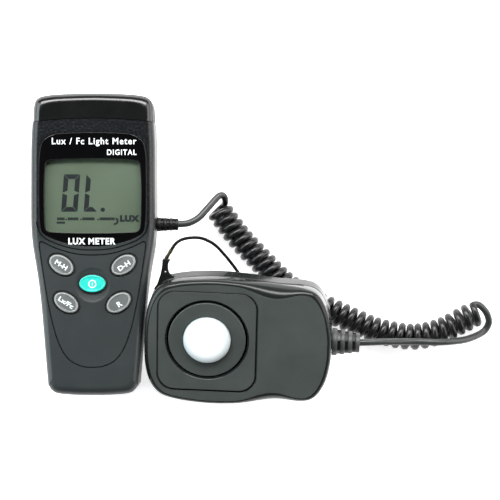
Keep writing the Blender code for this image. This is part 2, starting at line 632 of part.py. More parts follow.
def sensor_parts(frame):
    """Retaining ring, filter disc, photodiode and the small board below the dome."""
    holder = turned("retaining_ring", [(14.5 * MM, 20.4 * MM), (14.5 * MM, 22.6 * MM)], 32, SENSOR_CENTRE)
    cut(holder, turned("retainer_hole", [(9.0 * MM, 15 * MM), (9.0 * MM, 30 * MM)], 24, SENSOR_CENTRE))
    finish(holder, frame, BLACK, 0.5)
    disc = turned("filter_disc", [(8.6 * MM, 19.7 * MM), (8.6 * MM, 21.7 * MM)], 28, SENSOR_CENTRE)
    finish(disc, frame, (0.10, 0.35, 0.22), 0.1)
    board = block("sensor_board", (34 * MM, 34 * MM, 1.6 * MM), SENSOR_CENTRE, 12.8 * MM, corner=2 * MM)
    finish(board, frame, BOARD_GREEN, 0.4)
    diode = turned("photodiode", [(4.7 * MM, 14.7 * MM), (4.7 * MM, 15.5 * MM), (4.1 * MM, 15.51 * MM),
                                  (4.1 * MM, 18.6 * MM)], 24, SENSOR_CENTRE)
    finish(diode, frame, BRASS, 0.3, 1.0)


def tether_parts(frame):
    """Lug at the head's corner and the anchor of the wire's other end under the rear shell."""
    root = LUG_ROOT.xy
    outline = [root + Vector(p) * MM for p in LUG_SKETCH]
    lug = prism("tether_lug", outline, LUG_ROOT.z, LUG_ROOT.z + 1.8 * MM)
    hole = ellipse((0.5 * MM, 0.5 * MM), 12, root + Vector((-0.3, 2.4)) * MM)
    cut(lug, prism("lug_hole", hole, 0, 20 * MM),
        prism("lug_foot", ring(HEAD_OUTLINE, 0, -GAP), 0, 20 * MM))
    finish(lug, frame, BLACK, 0.55)
    post = (ANCHOR_AT.x, ANCHOR_AT.y)
    anchor = turned("tether_anchor", [(1.6 * MM, -1.9 * MM), (1.8 * MM, -1.0 * MM), (1.8 * MM, -GAP)], 16, post)
    finish(anchor, frame, BLACK, 0.55)


def clear_scene():
    for thing in list(bpy.data.objects):
        bpy.data.objects.remove(thing, do_unlink=True)


def build():
    clear_scene()
    meter = empty("meter_frame", METER_AT)
    end_cap(meter)
    meter_front_shell(meter)
    meter_rear_shell(meter)
    battery_door(meter)
    display(meter)
    buttons(meter)
    key_mat(meter)
    boards_and_chips(meter)
    battery_parts(meter)
    case_screws("case_screw", meter, CASE_SCREWS, 2.0 * MM, 20 * MM, 1.2 * MM)
    strain_relief("meter_strain_relief", meter, METER_CORD_AT, neck=2.6 * MM, ribs=4, bore=1.8 * MM,
                  flange=3.8 * MM, length=11.6 * MM, root_radius=3.5 * MM, tip_radius=3.0 * MM)

    head = empty("head_frame", HEAD_AT, HEAD_TURN)
    head_front_shell(head)
    head_rear_shell(head)
    sensor_window(head)
    sensor_parts(head)
    case_screws("head_screw", head, HEAD_SCREWS, 1.4 * MM, 16 * MM, 1.2 * MM)
    strain_relief("head_boot", head, HEAD_CORD_AT, neck=3.9 * MM, ribs=4, bore=1.8 * MM,
                  flange=5.6 * MM, length=15.0 * MM, root_radius=6.9 * MM, tip_radius=5.0 * MM)
    tether_parts(head)

    world = empty("cord_frame", (0, 0, 0))
    finish(tube("cord_meter_lead", METER_LEAD_ROUTE, WIRE_DIAMETER, 1), world, BLACK, 0.4)
    coil_route = [(x, y, COIL_AXIS_Z) for x, y in COIL_ROUTE]
    coil = tube("cord_coil", coil_route, COIL_DIAMETER, 2)
    coil.data.bevel_resolution = 4
    finish(coil, world, BLACK, 0.4)
    finish(tube("cord_head_lead", HEAD_LEAD_ROUTE, WIRE_DIAMETER, 1), world, BLACK, 0.4)
    finish(tube("tether_wire", TETHER_ROUTE, TETHER_DIAMETER, 2), world, BLACK, 0.4)
    finish(tube("tether_crimp", CRIMP_ROUTE, CRIMP_DIAMETER, 1), world, BRASS, 0.3, 1.0)


build()
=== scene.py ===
"""Looks of the handheld light meter with a separate sensor head on a curly cord.

Shapes are modelled in millimetres in the frame of their own housing, x across, y along and z up from its
back face, and then moved into the world. Routes of the cords are in world millimetres.
"""
import math

import bmesh
import bpy
from mathutils import Euler, Matrix, Vector


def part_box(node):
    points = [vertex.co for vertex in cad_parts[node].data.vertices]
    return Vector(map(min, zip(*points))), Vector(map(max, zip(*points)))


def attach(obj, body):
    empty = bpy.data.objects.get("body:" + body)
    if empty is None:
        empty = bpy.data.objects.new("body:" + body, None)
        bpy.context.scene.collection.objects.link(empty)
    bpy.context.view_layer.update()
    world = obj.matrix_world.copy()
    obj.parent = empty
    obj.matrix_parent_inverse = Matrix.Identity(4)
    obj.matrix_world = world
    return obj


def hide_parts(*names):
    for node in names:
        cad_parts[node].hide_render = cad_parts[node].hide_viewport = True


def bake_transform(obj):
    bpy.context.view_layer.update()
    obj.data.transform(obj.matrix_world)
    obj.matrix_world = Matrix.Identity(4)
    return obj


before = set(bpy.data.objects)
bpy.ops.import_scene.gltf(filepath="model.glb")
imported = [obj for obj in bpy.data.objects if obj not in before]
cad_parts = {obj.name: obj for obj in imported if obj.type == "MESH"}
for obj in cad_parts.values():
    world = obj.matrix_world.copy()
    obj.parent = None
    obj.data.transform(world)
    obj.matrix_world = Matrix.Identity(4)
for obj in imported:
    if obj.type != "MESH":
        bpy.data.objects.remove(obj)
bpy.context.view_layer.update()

MM = 0.001


def box_mm(*nodes):
    """Lowest and highest corner in mm of the box round the nodes."""
    corners = [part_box(node) for node in nodes]
    low = Vector([min(c[0][k] for c in corners) for k in range(3)]) / MM
    high = Vector([max(c[1][k] for c in corners) for k in range(3)]) / MM
    return low, high


def box_middle(node):
    low, high = box_mm(node)
    return (low + high) / 2


# ---------------------------------------------------------------- frames of the two housings

HEAD_TURN = Euler((math.radians(18.0), math.radians(-2.5), math.radians(-2.3)))
SENSOR_BOARD_AT = Vector((-15.2, 2.9, 13.6))      # its middle in the frame of the head

meter_low, meter_high = box_mm("meter_front_shell", "meter_rear_shell", "end_cap")
METER_ORIGIN = Vector(((meter_low.x + meter_high.x) / 2, (meter_low.y + meter_high.y) / 2, 0.0))
HEAD_MATRIX = HEAD_TURN.to_matrix()
HEAD_ORIGIN = box_middle("sensor_board") - HEAD_MATRIX @ SENSOR_BOARD_AT
METER = Matrix.Translation(METER_ORIGIN)
HEAD = Matrix.Translation(HEAD_ORIGIN) @ HEAD_MATRIX.to_4x4()
WORLD = Matrix.Identity(4)

METER_DEPTH = meter_high.z
METER_SPLIT = METER_DEPTH / 2
METER_SHOULDER = (4.2, 5.0)
METER_HALF_WIDTH = 31.0
METER_HALF_OUTLINE = (
    (0, 75.4), (13, 75.1), (22, 74.5), (27.8, 73.0), (29.8, 69.5), (30.3, 61.5), (30.9, 50), (31.0, 38),
    (31.0, 12), (30.4, 2), (29.4, -5), (27.6, -16), (26.1, -28), (24.8, -42), (22.7, -67), (21.9, -71),
    (18.5, -74.2), (10, -75.2), (0, -75.4))
CAP_SEAM_EDGE = 60.4
CAP_SEAM_CROWN = 1.9
CAP_STEP = 0.4
WALL = 2.0
GAP = 0.3
BEZEL_HALF_OUTLINE = (
    (0, 55.3), (14, 54.9), (20, 54.0), (24.6, 50.8), (26.3, 45), (26.7, 34), (26.7, 20), (26.3, 10),
    (24.9, 5.4), (19.5, 2.2), (10, -0.5), (0, -1.4))
LENS_HALF_OUTLINE = (
    (0, 42.4), (12, 42.2), (21.0, 41.6), (22.8, 40.6), (23.5, 38.5), (24.0, 30), (24.0, 18), (23.6, 9.0),
    (22.6, 6.6), (20.0, 5.8), (10, 5.4), (0, 5.3))
BUTTON_RADII = Vector((6.5, 4.3))
BUTTON_CLEARANCE = 0.6
BUTTON_TILT = math.radians(33)
BUTTON_PROUD = 1.2
KEY_RING = 0.35                   # the seen hole is this much wider than the key's clearance
BUTTONS = {
    "max_hold": (-15.4, -10.5, -1),
    "data_hold": (15.4, -10.5, 1),
    "power": (0.0, -19.8, 0),
    "unit": (-13.0, -29.2, -1),
    "range": (13.0, -29.2, 1),
}
CASE_SCREWS = ((-18.6, -62.5), (18.6, -62.5), (-26.2, 56.6), (26.2, 56.6))
DOOR_HALF_WIDTH = 15.0
DOOR_TOP_Y = -8.5
DOOR_THICKNESS = 2.2
METER_CORD_AT = Vector((METER_HALF_WIDTH, 9.8, 17.0))
METER_CORD_HOLE = 2.9                 # radius

HEAD_DEPTH = 27.0
HEAD_SPLIT = 12.0
HEAD_SHOULDER = (2.4, 2.8)
HEAD_LEAN = 2.4                   # the north wall leans out by this much from the seam to the face
HEAD_FOOT = (4.5, 4.0)
HEAD_HALF_OUTLINE = (
    (-46.6, 0), (-46.0, 12), (-43.6, 21.0), (-38.8, 27.1), (-31, 29.8), (-20, 31.2), (-9, 31.5), (6, 30.5),
    (20, 29.0), (32, 28.6), (39.0, 26.0), (43.8, 18.2), (46.1, 8), (46.5, 0))
SCOOP_X = 18.0
SCOOP_HALF_LENGTH = 20.0
SCOOP = (4.2, 5.0)
FACE_WALL = 4.2
PANEL_CENTRE = (-15.1, 1.7)
PANEL_SIZE = (49.0, 51.6)
PANEL_CORNER = 8.5
PANEL_THICKNESS = 2.5
PANEL_SHIFT = (-0.18, 0.33)         # the panel sits against the far edge of its pocket
SENSOR_CENTRE = (-15.2, 2.9)
RING_RADIUS = 19.2
GROOVE_RADIUS = 21.1
DOME_RADIUS = 11.8
HEAD_CORD_AT = Vector((46.5, -0.3, 13.0))
HEAD_CORD_HOLE = 4.2                  # radius
HEAD_WALL = 2.6
HEAD_SCREWS = ((-38.0, -17.0), (-38.0, 17.0), (37.0, -18.0), (37.0, 18.0))
LUG_ROOT = Vector((-37.5, 29.3, 8.0))

WIRE_DIAMETER = 3.5
INTO_SLEEVE = Vector((3.5, 0, 0))   # a cord is drawn this far past the end of its route
COIL_DIAMETER = 13.8
COIL_TURNS = 35.85
COIL_STRETCH = 0.055              # the last turns lie this much further apart than the mean, the first closer
METER_LEAD_ROUTE = (
    (-8.8, 12.2, 17.0), (-4.0, 12.7, 16.8), (0.8, 15.2, 15.6), (4.6, 19.2, 14.2), (8.3, 23.4, 12.8),
    (11.3, 26.5, 11.8), (13.4, 26.7, 10.9), (14.4, 24.6, 8.8))
COIL_ROUTE = (
    (10.7, 20.0), (21.5, 5.6), (32.7, -6.3), (43.6, -17.2), (56.0, -25.8), (69.6, -32.3), (79.0, -36.6),
    (91.8, -41.9), (109.2, -45.0), (123.6, -42.3), (134.2, -37.0), (142.2, -32.8))
COIL_AXIS_Z = 7.0
HEAD_LEAD_ROUTE = (
    (143.2, -28.7, 8.8), (146.4, -31.4, 6.8), (148.5, -34.8, 4.6), (149.0, -38.4, 3.0), (147.0, -42.0, 2.6),
    (143.0, -44.4, 4.4), (136.6, -46.4, 9.0), (129.0, -47.2, 13.3), (121.0, -47.5, 15.7),
    (112.0, -47.2, 16.5),
    (103.0, -47.1, 18.9), (94.0, -47.0, 22.2), (88.0, -47.1, 23.8), (82.2, -47.2, 24.3))
TETHER_DIAMETER = 1.6
TETHER_ROUTE = (
    (-11.6, 0.1, 29.4), (-10.0, 2.3, 29.0), (-7.2, 4.2, 28.0), (-2.8, 5.2, 26.0), (3.0, 4.9, 23.0),
    (9.0, 1.9, 19.8), (14.2, -3.4, 17.0), (18.6, -8.9, 15.0), (21.1, -12.6, 14.8), (21.5, -15.4, 15.8))
CRIMP_DIAMETER = 1.8
CRIMP_ROUTE = ((-14.4, -4.5, 28.5), (-11.9, -0.4, 29.3))


# ---------------------------------------------------------------- curves and rings, in mm

def smooth_through(points, steps, closed=False):
    """Points of a Catmull-Rom curve through the given ones."""
    count = len(points)
    last = count if closed else count - 1
    curve = []
    for i in range(last):
        if closed:
            a, b, c, d = (Vector(points[(i + k) % count]) for k in (-1, 0, 1, 2))
        else:
            a, b, c, d = (Vector(points[min(max(i + k, 0), count - 1)]) for k in (-1, 0, 1, 2))
        for step in range(steps):
            t = step / steps
            curve.append(0.5 * (2 * b + (c - a) * t + (2 * a - 5 * b + 4 * c - d) * t ** 2
                                + (3 * b - a - 3 * c + d) * t ** 3))
    if not closed:
        curve.append(Vector(points[-1]))
    return curve


def mirrored(half_points, across, steps):
    """Closed anticlockwise outline from one half; across is the axis index that is mirrored."""
    half = [Vector(p) for p in half_points]
    other = [p.copy() for p in reversed(half[1:-1])]
    for p in other:
        p[across] = -p[across]
    return list(reversed(smooth_through(half + other, steps, closed=True)))


def ring(outline, z, inset=0.0):
    """The outline at height z, drawn in towards its middle by the inset on each side."""
    xs = [p.x for p in outline]
    ys = [p.y for p in outline]
    middle = Vector((max(xs) + min(xs), max(ys) + min(ys))) / 2
    reach = Vector((max(xs) - min(xs), max(ys) - min(ys))) / 2
    return [Vector((middle.x + (p.x - middle.x) * (1 - inset / reach.x),
                    middle.y + (p.y - middle.y) * (1 - inset / reach.y), z)) for p in outline]


def ellipse(radii, steps, centre=(0, 0), turn=0.0):
    points = []
    for i in range(steps):
        angle = 2 * math.pi * i / steps
        p = Vector((radii[0] * math.cos(angle), radii[1] * math.sin(angle)))
        p.rotate(Matrix.Rotation(turn, 2))
        points.append(p + Vector(centre))
    return points


def rounded_rectangle(size, corner, centre):
    steps = 14
    points = []
    for quarter, (sx, sy) in enumerate(((1, 1), (-1, 1), (-1, -1), (1, -1))):
        middle = Vector((sx * (size[0] / 2 - corner), sy * (size[1] / 2 - corner))) + Vector(centre)
        for i in range(steps + 1):
            angle = math.radians(90 * (quarter + i / steps))
            points.append(middle + corner * Vector((math.cos(angle), math.sin(angle))))
    return points


def evenly(points, count):
    """Points at even distances along a polyline."""
    lengths = [0.0]
    for a, b in zip(points, points[1:]):
        lengths.append(lengths[-1] + (b - a).length)
    spaced = []
    segment = 0
    for i in range(count + 1):
        target = lengths[-1] * i / count
        while segment < len(points) - 2 and lengths[segment + 1] < target:
            segment += 1
        share = (target - lengths[segment]) / (lengths[segment + 1] - lengths[segment])
        spaced.append(points[segment].lerp(points[segment + 1], min(max(share, 0.0), 1.0)))
    return spaced


def length_of(points):
    return sum((b - a).length for a, b in zip(points, points[1:]))


# ---------------------------------------------------------------- meshes

def add_to_scene(name, data):
    thing = bpy.data.objects.new(name, data)
    bpy.context.scene.collection.objects.link(thing)
    return thing


def smooth(mesh):
    """Smooth shading with hard edges where faces meet at more than 32 degrees."""
    mesh.shade_smooth()
    mesh.set_sharp_from_angle(angle=math.radians(32))


def new_piece(name, mesh):
    smooth(mesh)
    return add_to_scene(name, mesh)


def piece_from(name, shape):
    """Piece made of a bmesh, which is used up."""
    mesh = bpy.data.meshes.new(name)
    shape.to_mesh(mesh)
    shape.free()
    return new_piece(name, mesh)


def loft(name, rings):
    """Solid through rings of equal count, lowest first, each anticlockwise from above."""
    shape = bmesh.new()
    loops = [[shape.verts.new(p) for p in points] for points in rings]
    count = len(loops[0])
    for lower, upper in zip(loops, loops[1:]):
        for i in range(count):
            j = (i + 1) % count
            shape.faces.new((lower[i], lower[j], upper[j], upper[i]))
    shape.faces.new(list(reversed(loops[0])))
    shape.faces.new(loops[-1])
    return piece_from(name, shape)


def prism(name, outline, low, high):
    return loft(name, [[Vector((p.x, p.y, z)) for p in outline] for z in (low, high)])


def block(name, size, centre, low):
    """Upright block on the height low."""
    outline = [Vector((centre[0] + sx * size[0] / 2, centre[1] + sy * size[1] / 2))
               for sx, sy in ((1, 1), (-1, 1), (-1, -1), (1, -1))]
    return prism(name, outline, low, low + size[2])


def turned(name, profile, segments, centre=(0, 0)):
    """Solid of revolution about z; profile is (radius, height) from the lowest ring up."""
    return loft(name, [[Vector((p.x, p.y, height)) for p in ellipse((radius, radius), segments, centre)]
                       for radius, height in profile])


def sweep(name, path, radii, sides=16, closed=False):
    """Round tube along a path; radii is one radius or one for each point."""
    count = len(path)
    if not isinstance(radii, (list, tuple)):
        radii = [radii] * count
    shape = bmesh.new()
    loops = []
    normal = None
    for i, p in enumerate(path):
        ahead = path[(i + 1) % count] if closed else path[min(i + 1, count - 1)]
        behind = path[i - 1] if closed or i else path[0]
        along = (ahead - behind).normalized()
        if normal is None:
            normal = along.orthogonal().normalized()
        normal = (normal - along * normal.dot(along)).normalized()
        side = along.cross(normal)
        loops.append([shape.verts.new(p + radii[i] * (normal * math.cos(a) + side * math.sin(a)))
                      for a in (2 * math.pi * k / sides for k in range(sides))])
    pairs = list(zip(loops, loops[1:]))
    if closed:
        pairs.append((loops[-1], loops[0]))
    for near, far in pairs:
        for k in range(sides):
            j = (k + 1) % sides
            shape.faces.new((near[k], near[j], far[j], far[k]))
    if not closed:
        shape.faces.new(list(reversed(loops[0])))
        shape.faces.new(loops[-1])
    bmesh.ops.recalc_face_normals(shape, faces=shape.faces)
    return piece_from(name, shape)


def lay_along_x(solid, at):
    """Turn a solid made along z so that it points along +x from the point at."""
    solid.data.transform(Matrix.Translation(at) @ Matrix.Rotation(math.pi / 2, 4, "Y"))
    return solid


def combine(target, tools, operation="DIFFERENCE"):
    """Boolean of the target with each tool; the tools are used up."""
    for tool in tools:
        step = target.modifiers.new("step", "BOOLEAN")
        step.operation = operation
        step.solver = "EXACT"
        step.object = tool
    bake(target)
    for tool in tools:
        mesh = tool.data
        bpy.data.objects.remove(tool, do_unlink=True)
        bpy.data.meshes.remove(mesh)


def bake(piece):
    """Apply the modifiers of a piece."""
    graph = bpy.context.evaluated_depsgraph_get()
    baked = bpy.data.meshes.new_from_object(piece.evaluated_get(graph))
    old = piece.data
    piece.modifiers.clear()
    piece.data = baked
    bpy.data.meshes.remove(old)
    smooth(baked)


def join(name, pieces):
    """One piece from several."""
    shape = bmesh.new()
    for piece in pieces:
        shape.from_mesh(piece.data)
        bpy.data.objects.remove(piece, do_unlink=True)
    return piece_from(name, shape)


def flatten_faces(piece):
    """Level faces are shaded flat, so the holes cut in them leave no streaks."""
    for face in piece.data.polygons:
        if abs(face.normal.z) > 0.9995:
            face.use_smooth = False


def add_materials(piece, *materials):
    for material in materials:
        piece.data.materials.append(material)


def split_by_slope(piece, top, side, limit=0.985):
    """One material on the faces that look up, another on those that lean over further than the limit."""
    add_materials(piece, top, side)
    for face in piece.data.polygons:
        face.material_index = 1 if face.normal.z < limit else 0


def place(piece, matrix, body, material, replaced=()):
    """Move a finished shape into the world and tie it to its body. The material is None if it has some."""
    if isinstance(piece.data, bpy.types.Mesh):
        flatten_faces(piece)
        piece.data.transform(Matrix.Scale(MM, 4) @ matrix)
    if material is not None:
        add_materials(piece, material)
    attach(piece, body)
    if replaced:
        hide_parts(*replaced)


# ---------------------------------------------------------------- materials

def feed(tree, node, inputs):
    """Set inputs of a node by name or number: a socket is linked, anything else is the value."""
    for key, value in inputs.items():
        if isinstance(value, bpy.types.NodeSocket):
            tree.links.new(value, node.inputs[key])
        else:
            node.inputs[key].default_value = value


def add_node(tree, kind, inputs, **settings):
    node = tree.nodes.new("ShaderNode" + kind)
    for key, value in settings.items():
        setattr(node, key, value)
    feed(tree, node, inputs)
    return node


def own_coordinates(tree):
    return add_node(tree, "TexCoord", {}).outputs["Object"]


def noise(tree, scale, detail=2.0, roughness=0.5):
    """Noise over the object's own coordinates; scale is in features per metre."""
    inputs = {"Vector": own_coordinates(tree), "Scale": scale, "Detail": detail, "Roughness": roughness}
    return add_node(tree, "TexNoise", inputs).outputs["Fac"]


def ramp(tree, factor, low, high, start=0.3, end=0.7):
    """Ramp between two colours over part of the factor's range."""
    node = add_node(tree, "ValToRGB", {"Fac": factor})
    for element, position, colour in zip(node.color_ramp.elements, (start, end), (low, high)):
        element.position = position
        element.color = (*colour, 1.0)
    return node.outputs["Color"]


def mix(tree, factor, first, second):
    """Mix two sockets, or a socket with a colour, by a factor socket."""
    first, second = ((*value, 1.0) if isinstance(value, tuple) else value for value in (first, second))
    return add_node(tree, "Mix", {0: factor, 6: first, 7: second}, data_type="RGBA").outputs[2]


def span(tree, value, low, high):
    """A value from 0 to 1 moved to the range low to high."""
    return add_node(tree, "MapRange", {"Value": value, "To Min": low, "To Max": high}).outputs["Result"]


def step_up(tree, value, low, high):
    """Smooth step from 0 to 1 while the value goes from low to high."""
    inputs = {"Value": value, "From Min": low, "From Max": high}
    return add_node(tree, "MapRange", inputs, interpolation_type="SMOOTHSTEP").outputs["Result"]


def bump(tree, height, distance, strength=1.0):
    inputs = {"Height": height, "Distance": distance, "Strength": strength}
    return add_node(tree, "Bump", inputs).outputs["Normal"]


def shader_of(name):
    material = bpy.data.materials.new(name)
    material.use_nodes = True
    return material, material.node_tree, material.node_tree.nodes["Principled BSDF"]


def tone(colour, factor):
    return tuple(min(c * factor, 1.0) for c in colour)


def plastic(name, colour, roughness, grain=1400.0, grain_height=0.02, variation=0.12, roughness_spread=0.08,
            wear=0.0, specular=0.5, coat=0.0):
    """Moulded plastic: cloudy colour, spark-eroded grain, uneven gloss and paler scuffs."""
    material, tree, shader = shader_of(name)
    base = ramp(tree, noise(tree, 60.0, 4.0, 0.6), tone(colour, 1 - variation), tone(colour, 1 + variation))
    if wear:
        scuffs = ramp(tree, noise(tree, 90.0, 8.0, 0.7), (0, 0, 0), (wear,) * 3, 0.60, 0.72)
        base = mix(tree, scuffs, base, tone(colour, 2.2))
    smudge = noise(tree, 140.0, 3.0, 0.55)
    feed(tree, shader, {
        "Base Color": base, "Specular IOR Level": specular, "Coat Weight": coat, "Coat Roughness": 0.05,
        "Roughness": span(tree, smudge, roughness - roughness_spread, roughness + roughness_spread)})
    if grain_height:
        feed(tree, shader, {"Normal": bump(tree, noise(tree, grain, 3.0, 0.6), grain_height * MM)})
    return material


def housing_plastic():
    """The meter's shells: dark sparkling grain round the display, smoother and paler below it."""
    material, tree, shader = shader_of("two_finish_charcoal")
    place_of = add_node(tree, "SeparateXYZ", {"Vector": own_coordinates(tree)}).outputs
    upper = step_up(tree, place_of["Y"], (METER_ORIGIN.y - 4.0) * MM, (METER_ORIGIN.y + 14.0) * MM)
    cloud = noise(tree, 60.0, 4.0, 0.6)
    speck = noise(tree, 1000.0, 2.0, 0.6)
    dark = ramp(tree, speck, (0.0004, 0.0008, 0.0012), (0.0150, 0.0170, 0.0200), 0.46, 0.70)
    pale = ramp(tree, cloud, (0.0185, 0.0222, 0.0230), (0.0215, 0.0256, 0.0264))
    feed(tree, shader, {
        "Base Color": mix(tree, upper, pale, dark), "Specular IOR Level": 0.34,
        "Roughness": mix(tree, upper, span(tree, cloud, 0.38, 0.46), span(tree, cloud, 0.26, 0.32)),
        "Normal": bump(tree, noise(tree, 1500.0, 3.0, 0.65), 0.03 * MM, 0.6)})
    return material


def metal(name, colour, roughness):
    """Metal with fine drawn scratches and slight tarnish."""
    material, tree, shader = shader_of(name)
    tarnish = noise(tree, 300.0, 4.0, 0.6)
    scratches = noise(tree, 900.0, 5.0, 0.7)
    feed(tree, shader, {
        "Metallic": 1.0, "Base Color": ramp(tree, tarnish, tone(colour, 0.78), tone(colour, 1.08)),
        "Roughness": span(tree, scratches, roughness * 0.6, roughness * 1.5),
        "Normal": bump(tree, scratches, 0.01 * MM)})
    return material


def board_green():
    """Printed board: solder mask over a faint pattern of copper tracks."""
    material, tree, shader = shader_of("board_mask")
    inputs = {"Vector": own_coordinates(tree), "Scale": 260.0}
    tracks = add_node(tree, "TexVoronoi", inputs, feature="DISTANCE_TO_EDGE").outputs["Distance"]
    feed(tree, shader, {
        "Base Color": ramp(tree, tracks, (0.03, 0.22, 0.09), (0.012, 0.11, 0.05), 0.05, 0.12),
        "Normal": bump(tree, tracks, 0.03 * MM), "Roughness": 0.35})
    return material


def liquid_crystal():
    """Grey-green polariser with a soft mottled tint."""
    material, tree, shader = shader_of("lcd_polariser")
    cloud = noise(tree, 34.0, 3.0)
    tint = ramp(tree, cloud, (0.074, 0.096, 0.068), (0.086, 0.111, 0.081), 0.35, 0.65)
    darker = ramp(tree, noise(tree, 2600.0), (0.10,) * 3, (0.0,) * 3, 0.35, 0.65)
    feed(tree, shader, {"Base Color": mix(tree, darker, tint, (0.06, 0.082, 0.056)),
                        "Roughness": span(tree, cloud, 0.30, 0.42)})
    return material


def clear_window():
    """Thin clear acrylic: see-through with a gloss that grows towards grazing angles."""
    material, tree, shader = shader_of("clear_acrylic")
    output = next(n for n in tree.nodes if n.type == "OUTPUT_MATERIAL")
    tree.nodes.remove(shader)
    gloss = add_node(tree, "BsdfGlossy", {"Roughness": span(tree, noise(tree, 220.0, 3.0), 0.03, 0.07)})
    clear = add_node(tree, "BsdfTransparent", {"Color": (0.97, 0.98, 0.97, 1.0)})
    facing = add_node(tree, "LayerWeight", {}).outputs["Facing"]
    steep = add_node(tree, "Math", {0: facing, 1: 4.0}, operation="POWER").outputs["Value"]
    blend = add_node(tree, "MixShader", {"Fac": span(tree, steep, 0.02, 0.6), 1: clear.outputs["BSDF"],
                                         2: gloss.outputs["BSDF"]})
    feed(tree, output, {"Surface": blend.outputs["Shader"]})
    return material


def milky_dome():
    """Opal diffuser: white and slightly translucent, greying towards its edge with painted shade."""
    material, tree, shader = shader_of("opal_diffuser")
    white = ramp(tree, noise(tree, 180.0, 3.0), (0.84, 0.87, 0.88), (0.88, 0.91, 0.92))
    centre = HEAD @ Vector((*SENSOR_CENTRE, HEAD_DEPTH)) * MM
    distance = add_node(tree, "VectorMath", {0: own_coordinates(tree), 1: centre}, operation="DISTANCE")
    # Painted shade: the base colour greys over the outer two millimetres of the dome.
    edge = ramp(tree, distance.outputs["Value"], (0, 0, 0), (1, 1, 1), 0.0100, 0.0119)
    feed(tree, shader, {
        "Base Color": mix(tree, edge, white, (0.36, 0.42, 0.44)),
        "Roughness": span(tree, noise(tree, 500.0), 0.36, 0.5),
        "Normal": bump(tree, noise(tree, 2400.0), 0.01 * MM),
        "Subsurface Weight": 0.15, "Subsurface Radius": (0.004, 0.004, 0.004), "Subsurface Scale": 1.0})
    return material


def cord_jacket(name, shade_the_coil):
    """Satin rubber jacket, one rubber all along. For the coil's material the turns are painted a darker black
    than the plain leads: painted shade between the turns.
    """
    material, tree, shader = shader_of(name)
    cloud = noise(tree, 300.0, 4.0, 0.6)
    base = ramp(tree, cloud, (0.024, 0.027, 0.026), (0.034, 0.038, 0.037))
    # Painted shade: the coil is made darker than the lead at the meter.
    if shade_the_coil:
        place_of = add_node(tree, "SeparateXYZ", {"Vector": own_coordinates(tree)}).outputs
        beyond_coil = add_node(tree, "Math", {0: place_of["Y"], 1: place_of["X"]}, operation="SUBTRACT")
        plain = step_up(tree, beyond_coil.outputs["Value"], 11.5 * MM, 13.5 * MM)
        coil_shade = ramp(tree, cloud, (0.0035, 0.004, 0.004), (0.007, 0.008, 0.008))
        base = mix(tree, plain, coil_shade, base)
    feed(tree, shader, {
        "Base Color": base, "Roughness": span(tree, noise(tree, 700.0), 0.27, 0.34),
        "Normal": bump(tree, noise(tree, 2500.0, 3.0, 0.6), 0.015 * MM), "Specular IOR Level": 0.4})
    return material


TEXTURED = housing_plastic()
HEAD_MATT = plastic("matt_grey", (0.046, 0.053, 0.050), 0.38, grain=2600.0, grain_height=0.015)
# Same grey plastic as the head's face, painted far darker where it leans over (shoulders, walls, rear shell,
# panel edge): painted shade, with a sharper gloss.
HEAD_SLOPE_SHADE = plastic("satin_grey_painted_shade", (0.010, 0.012, 0.0115), 0.20, grain=2600.0, grain_height=0.004,
                    roughness_spread=0.04, specular=0.25)
CAP_GLOSS = plastic("gloss_cap", (0.0035, 0.0040, 0.0040), 0.20, grain=700.0, grain_height=0.004,
                    variation=0.2, roughness_spread=0.05)
CAP_SIDE = plastic("cap_side", (0.0035, 0.0040, 0.0040), 0.45, grain=700.0, grain_height=0.004, specular=0.12)
BEZEL_GLOSS = plastic("gloss_window_frame", (0.0015, 0.0015, 0.0017), 0.10, grain=600.0, grain_height=0.003,
                      variation=0.2, roughness_spread=0.03)
# Matt black for parts that are black, and painted shade in the gaps round the keys and inside the windows of
# the cord sleeves.
BLACK_AND_PAINTED_SHADE = plastic("matt_black_and_painted_shade", (0.006, 0.006, 0.006), 0.6, grain=1500.0)
KEY_GREY = plastic("key_grey", (0.088, 0.096, 0.097), 0.42, grain=2600.0, grain_height=0.012, wear=0.15)
KEY_RIM = plastic("key_rim", (0.205, 0.215, 0.21), 0.36, grain=2600.0, grain_height=0.008)
KEY_TEAL = plastic("key_teal", (0.018, 0.44, 0.37), 0.32, grain=2600.0, grain_height=0.008, variation=0.05)
PRINT_WHITE = plastic("print_white", (0.62, 0.65, 0.65), 0.45, grain=2600.0, grain_height=0.008,
                      variation=0.04)
LCD_INK = plastic("lcd_ink", (0.004, 0.006, 0.009), 0.4, grain=2600.0, grain_height=0.0, variation=0.15)
RUBBER = plastic("soft_black", (0.0055, 0.006, 0.006), 0.45, grain=1800.0, grain_height=0.02, specular=0.28)
BOOT_GREY = plastic("boot_grey", (0.045, 0.050, 0.049), 0.45, grain=1800.0, grain_height=0.02)
KEY_RUBBER = plastic("mat_rubber_grey", (0.055, 0.058, 0.062), 0.7, grain=1800.0, grain_height=0.03)
WHITE_PLASTIC = plastic("white_plastic", (0.75, 0.76, 0.74), 0.5)
BLUE_PLASTIC = plastic("trimmer_blue_plastic", (0.03, 0.12, 0.42), 0.4)
BATTERY_WRAP = plastic("battery_wrap", (0.028, 0.030, 0.036), 0.3, grain=900.0, grain_height=0.01, coat=0.3)
PINK_STRIP = plastic("elastomer_pink", (0.30, 0.12, 0.16), 0.6)
FILTER_GREEN = plastic("filter_green", (0.08, 0.30, 0.18), 0.12, grain=500.0, grain_height=0.0)
STEEL = metal("screw_steel", (0.55, 0.55, 0.56), 0.32)
GOLD = metal("gilt_can", (0.78, 0.60, 0.28), 0.25)
BRASS = metal("crimp_brass_metal", (0.085, 0.068, 0.034), 0.4)
BOARD = board_green()
LCD = liquid_crystal()
WINDOW = clear_window()
OPAL = milky_dome()
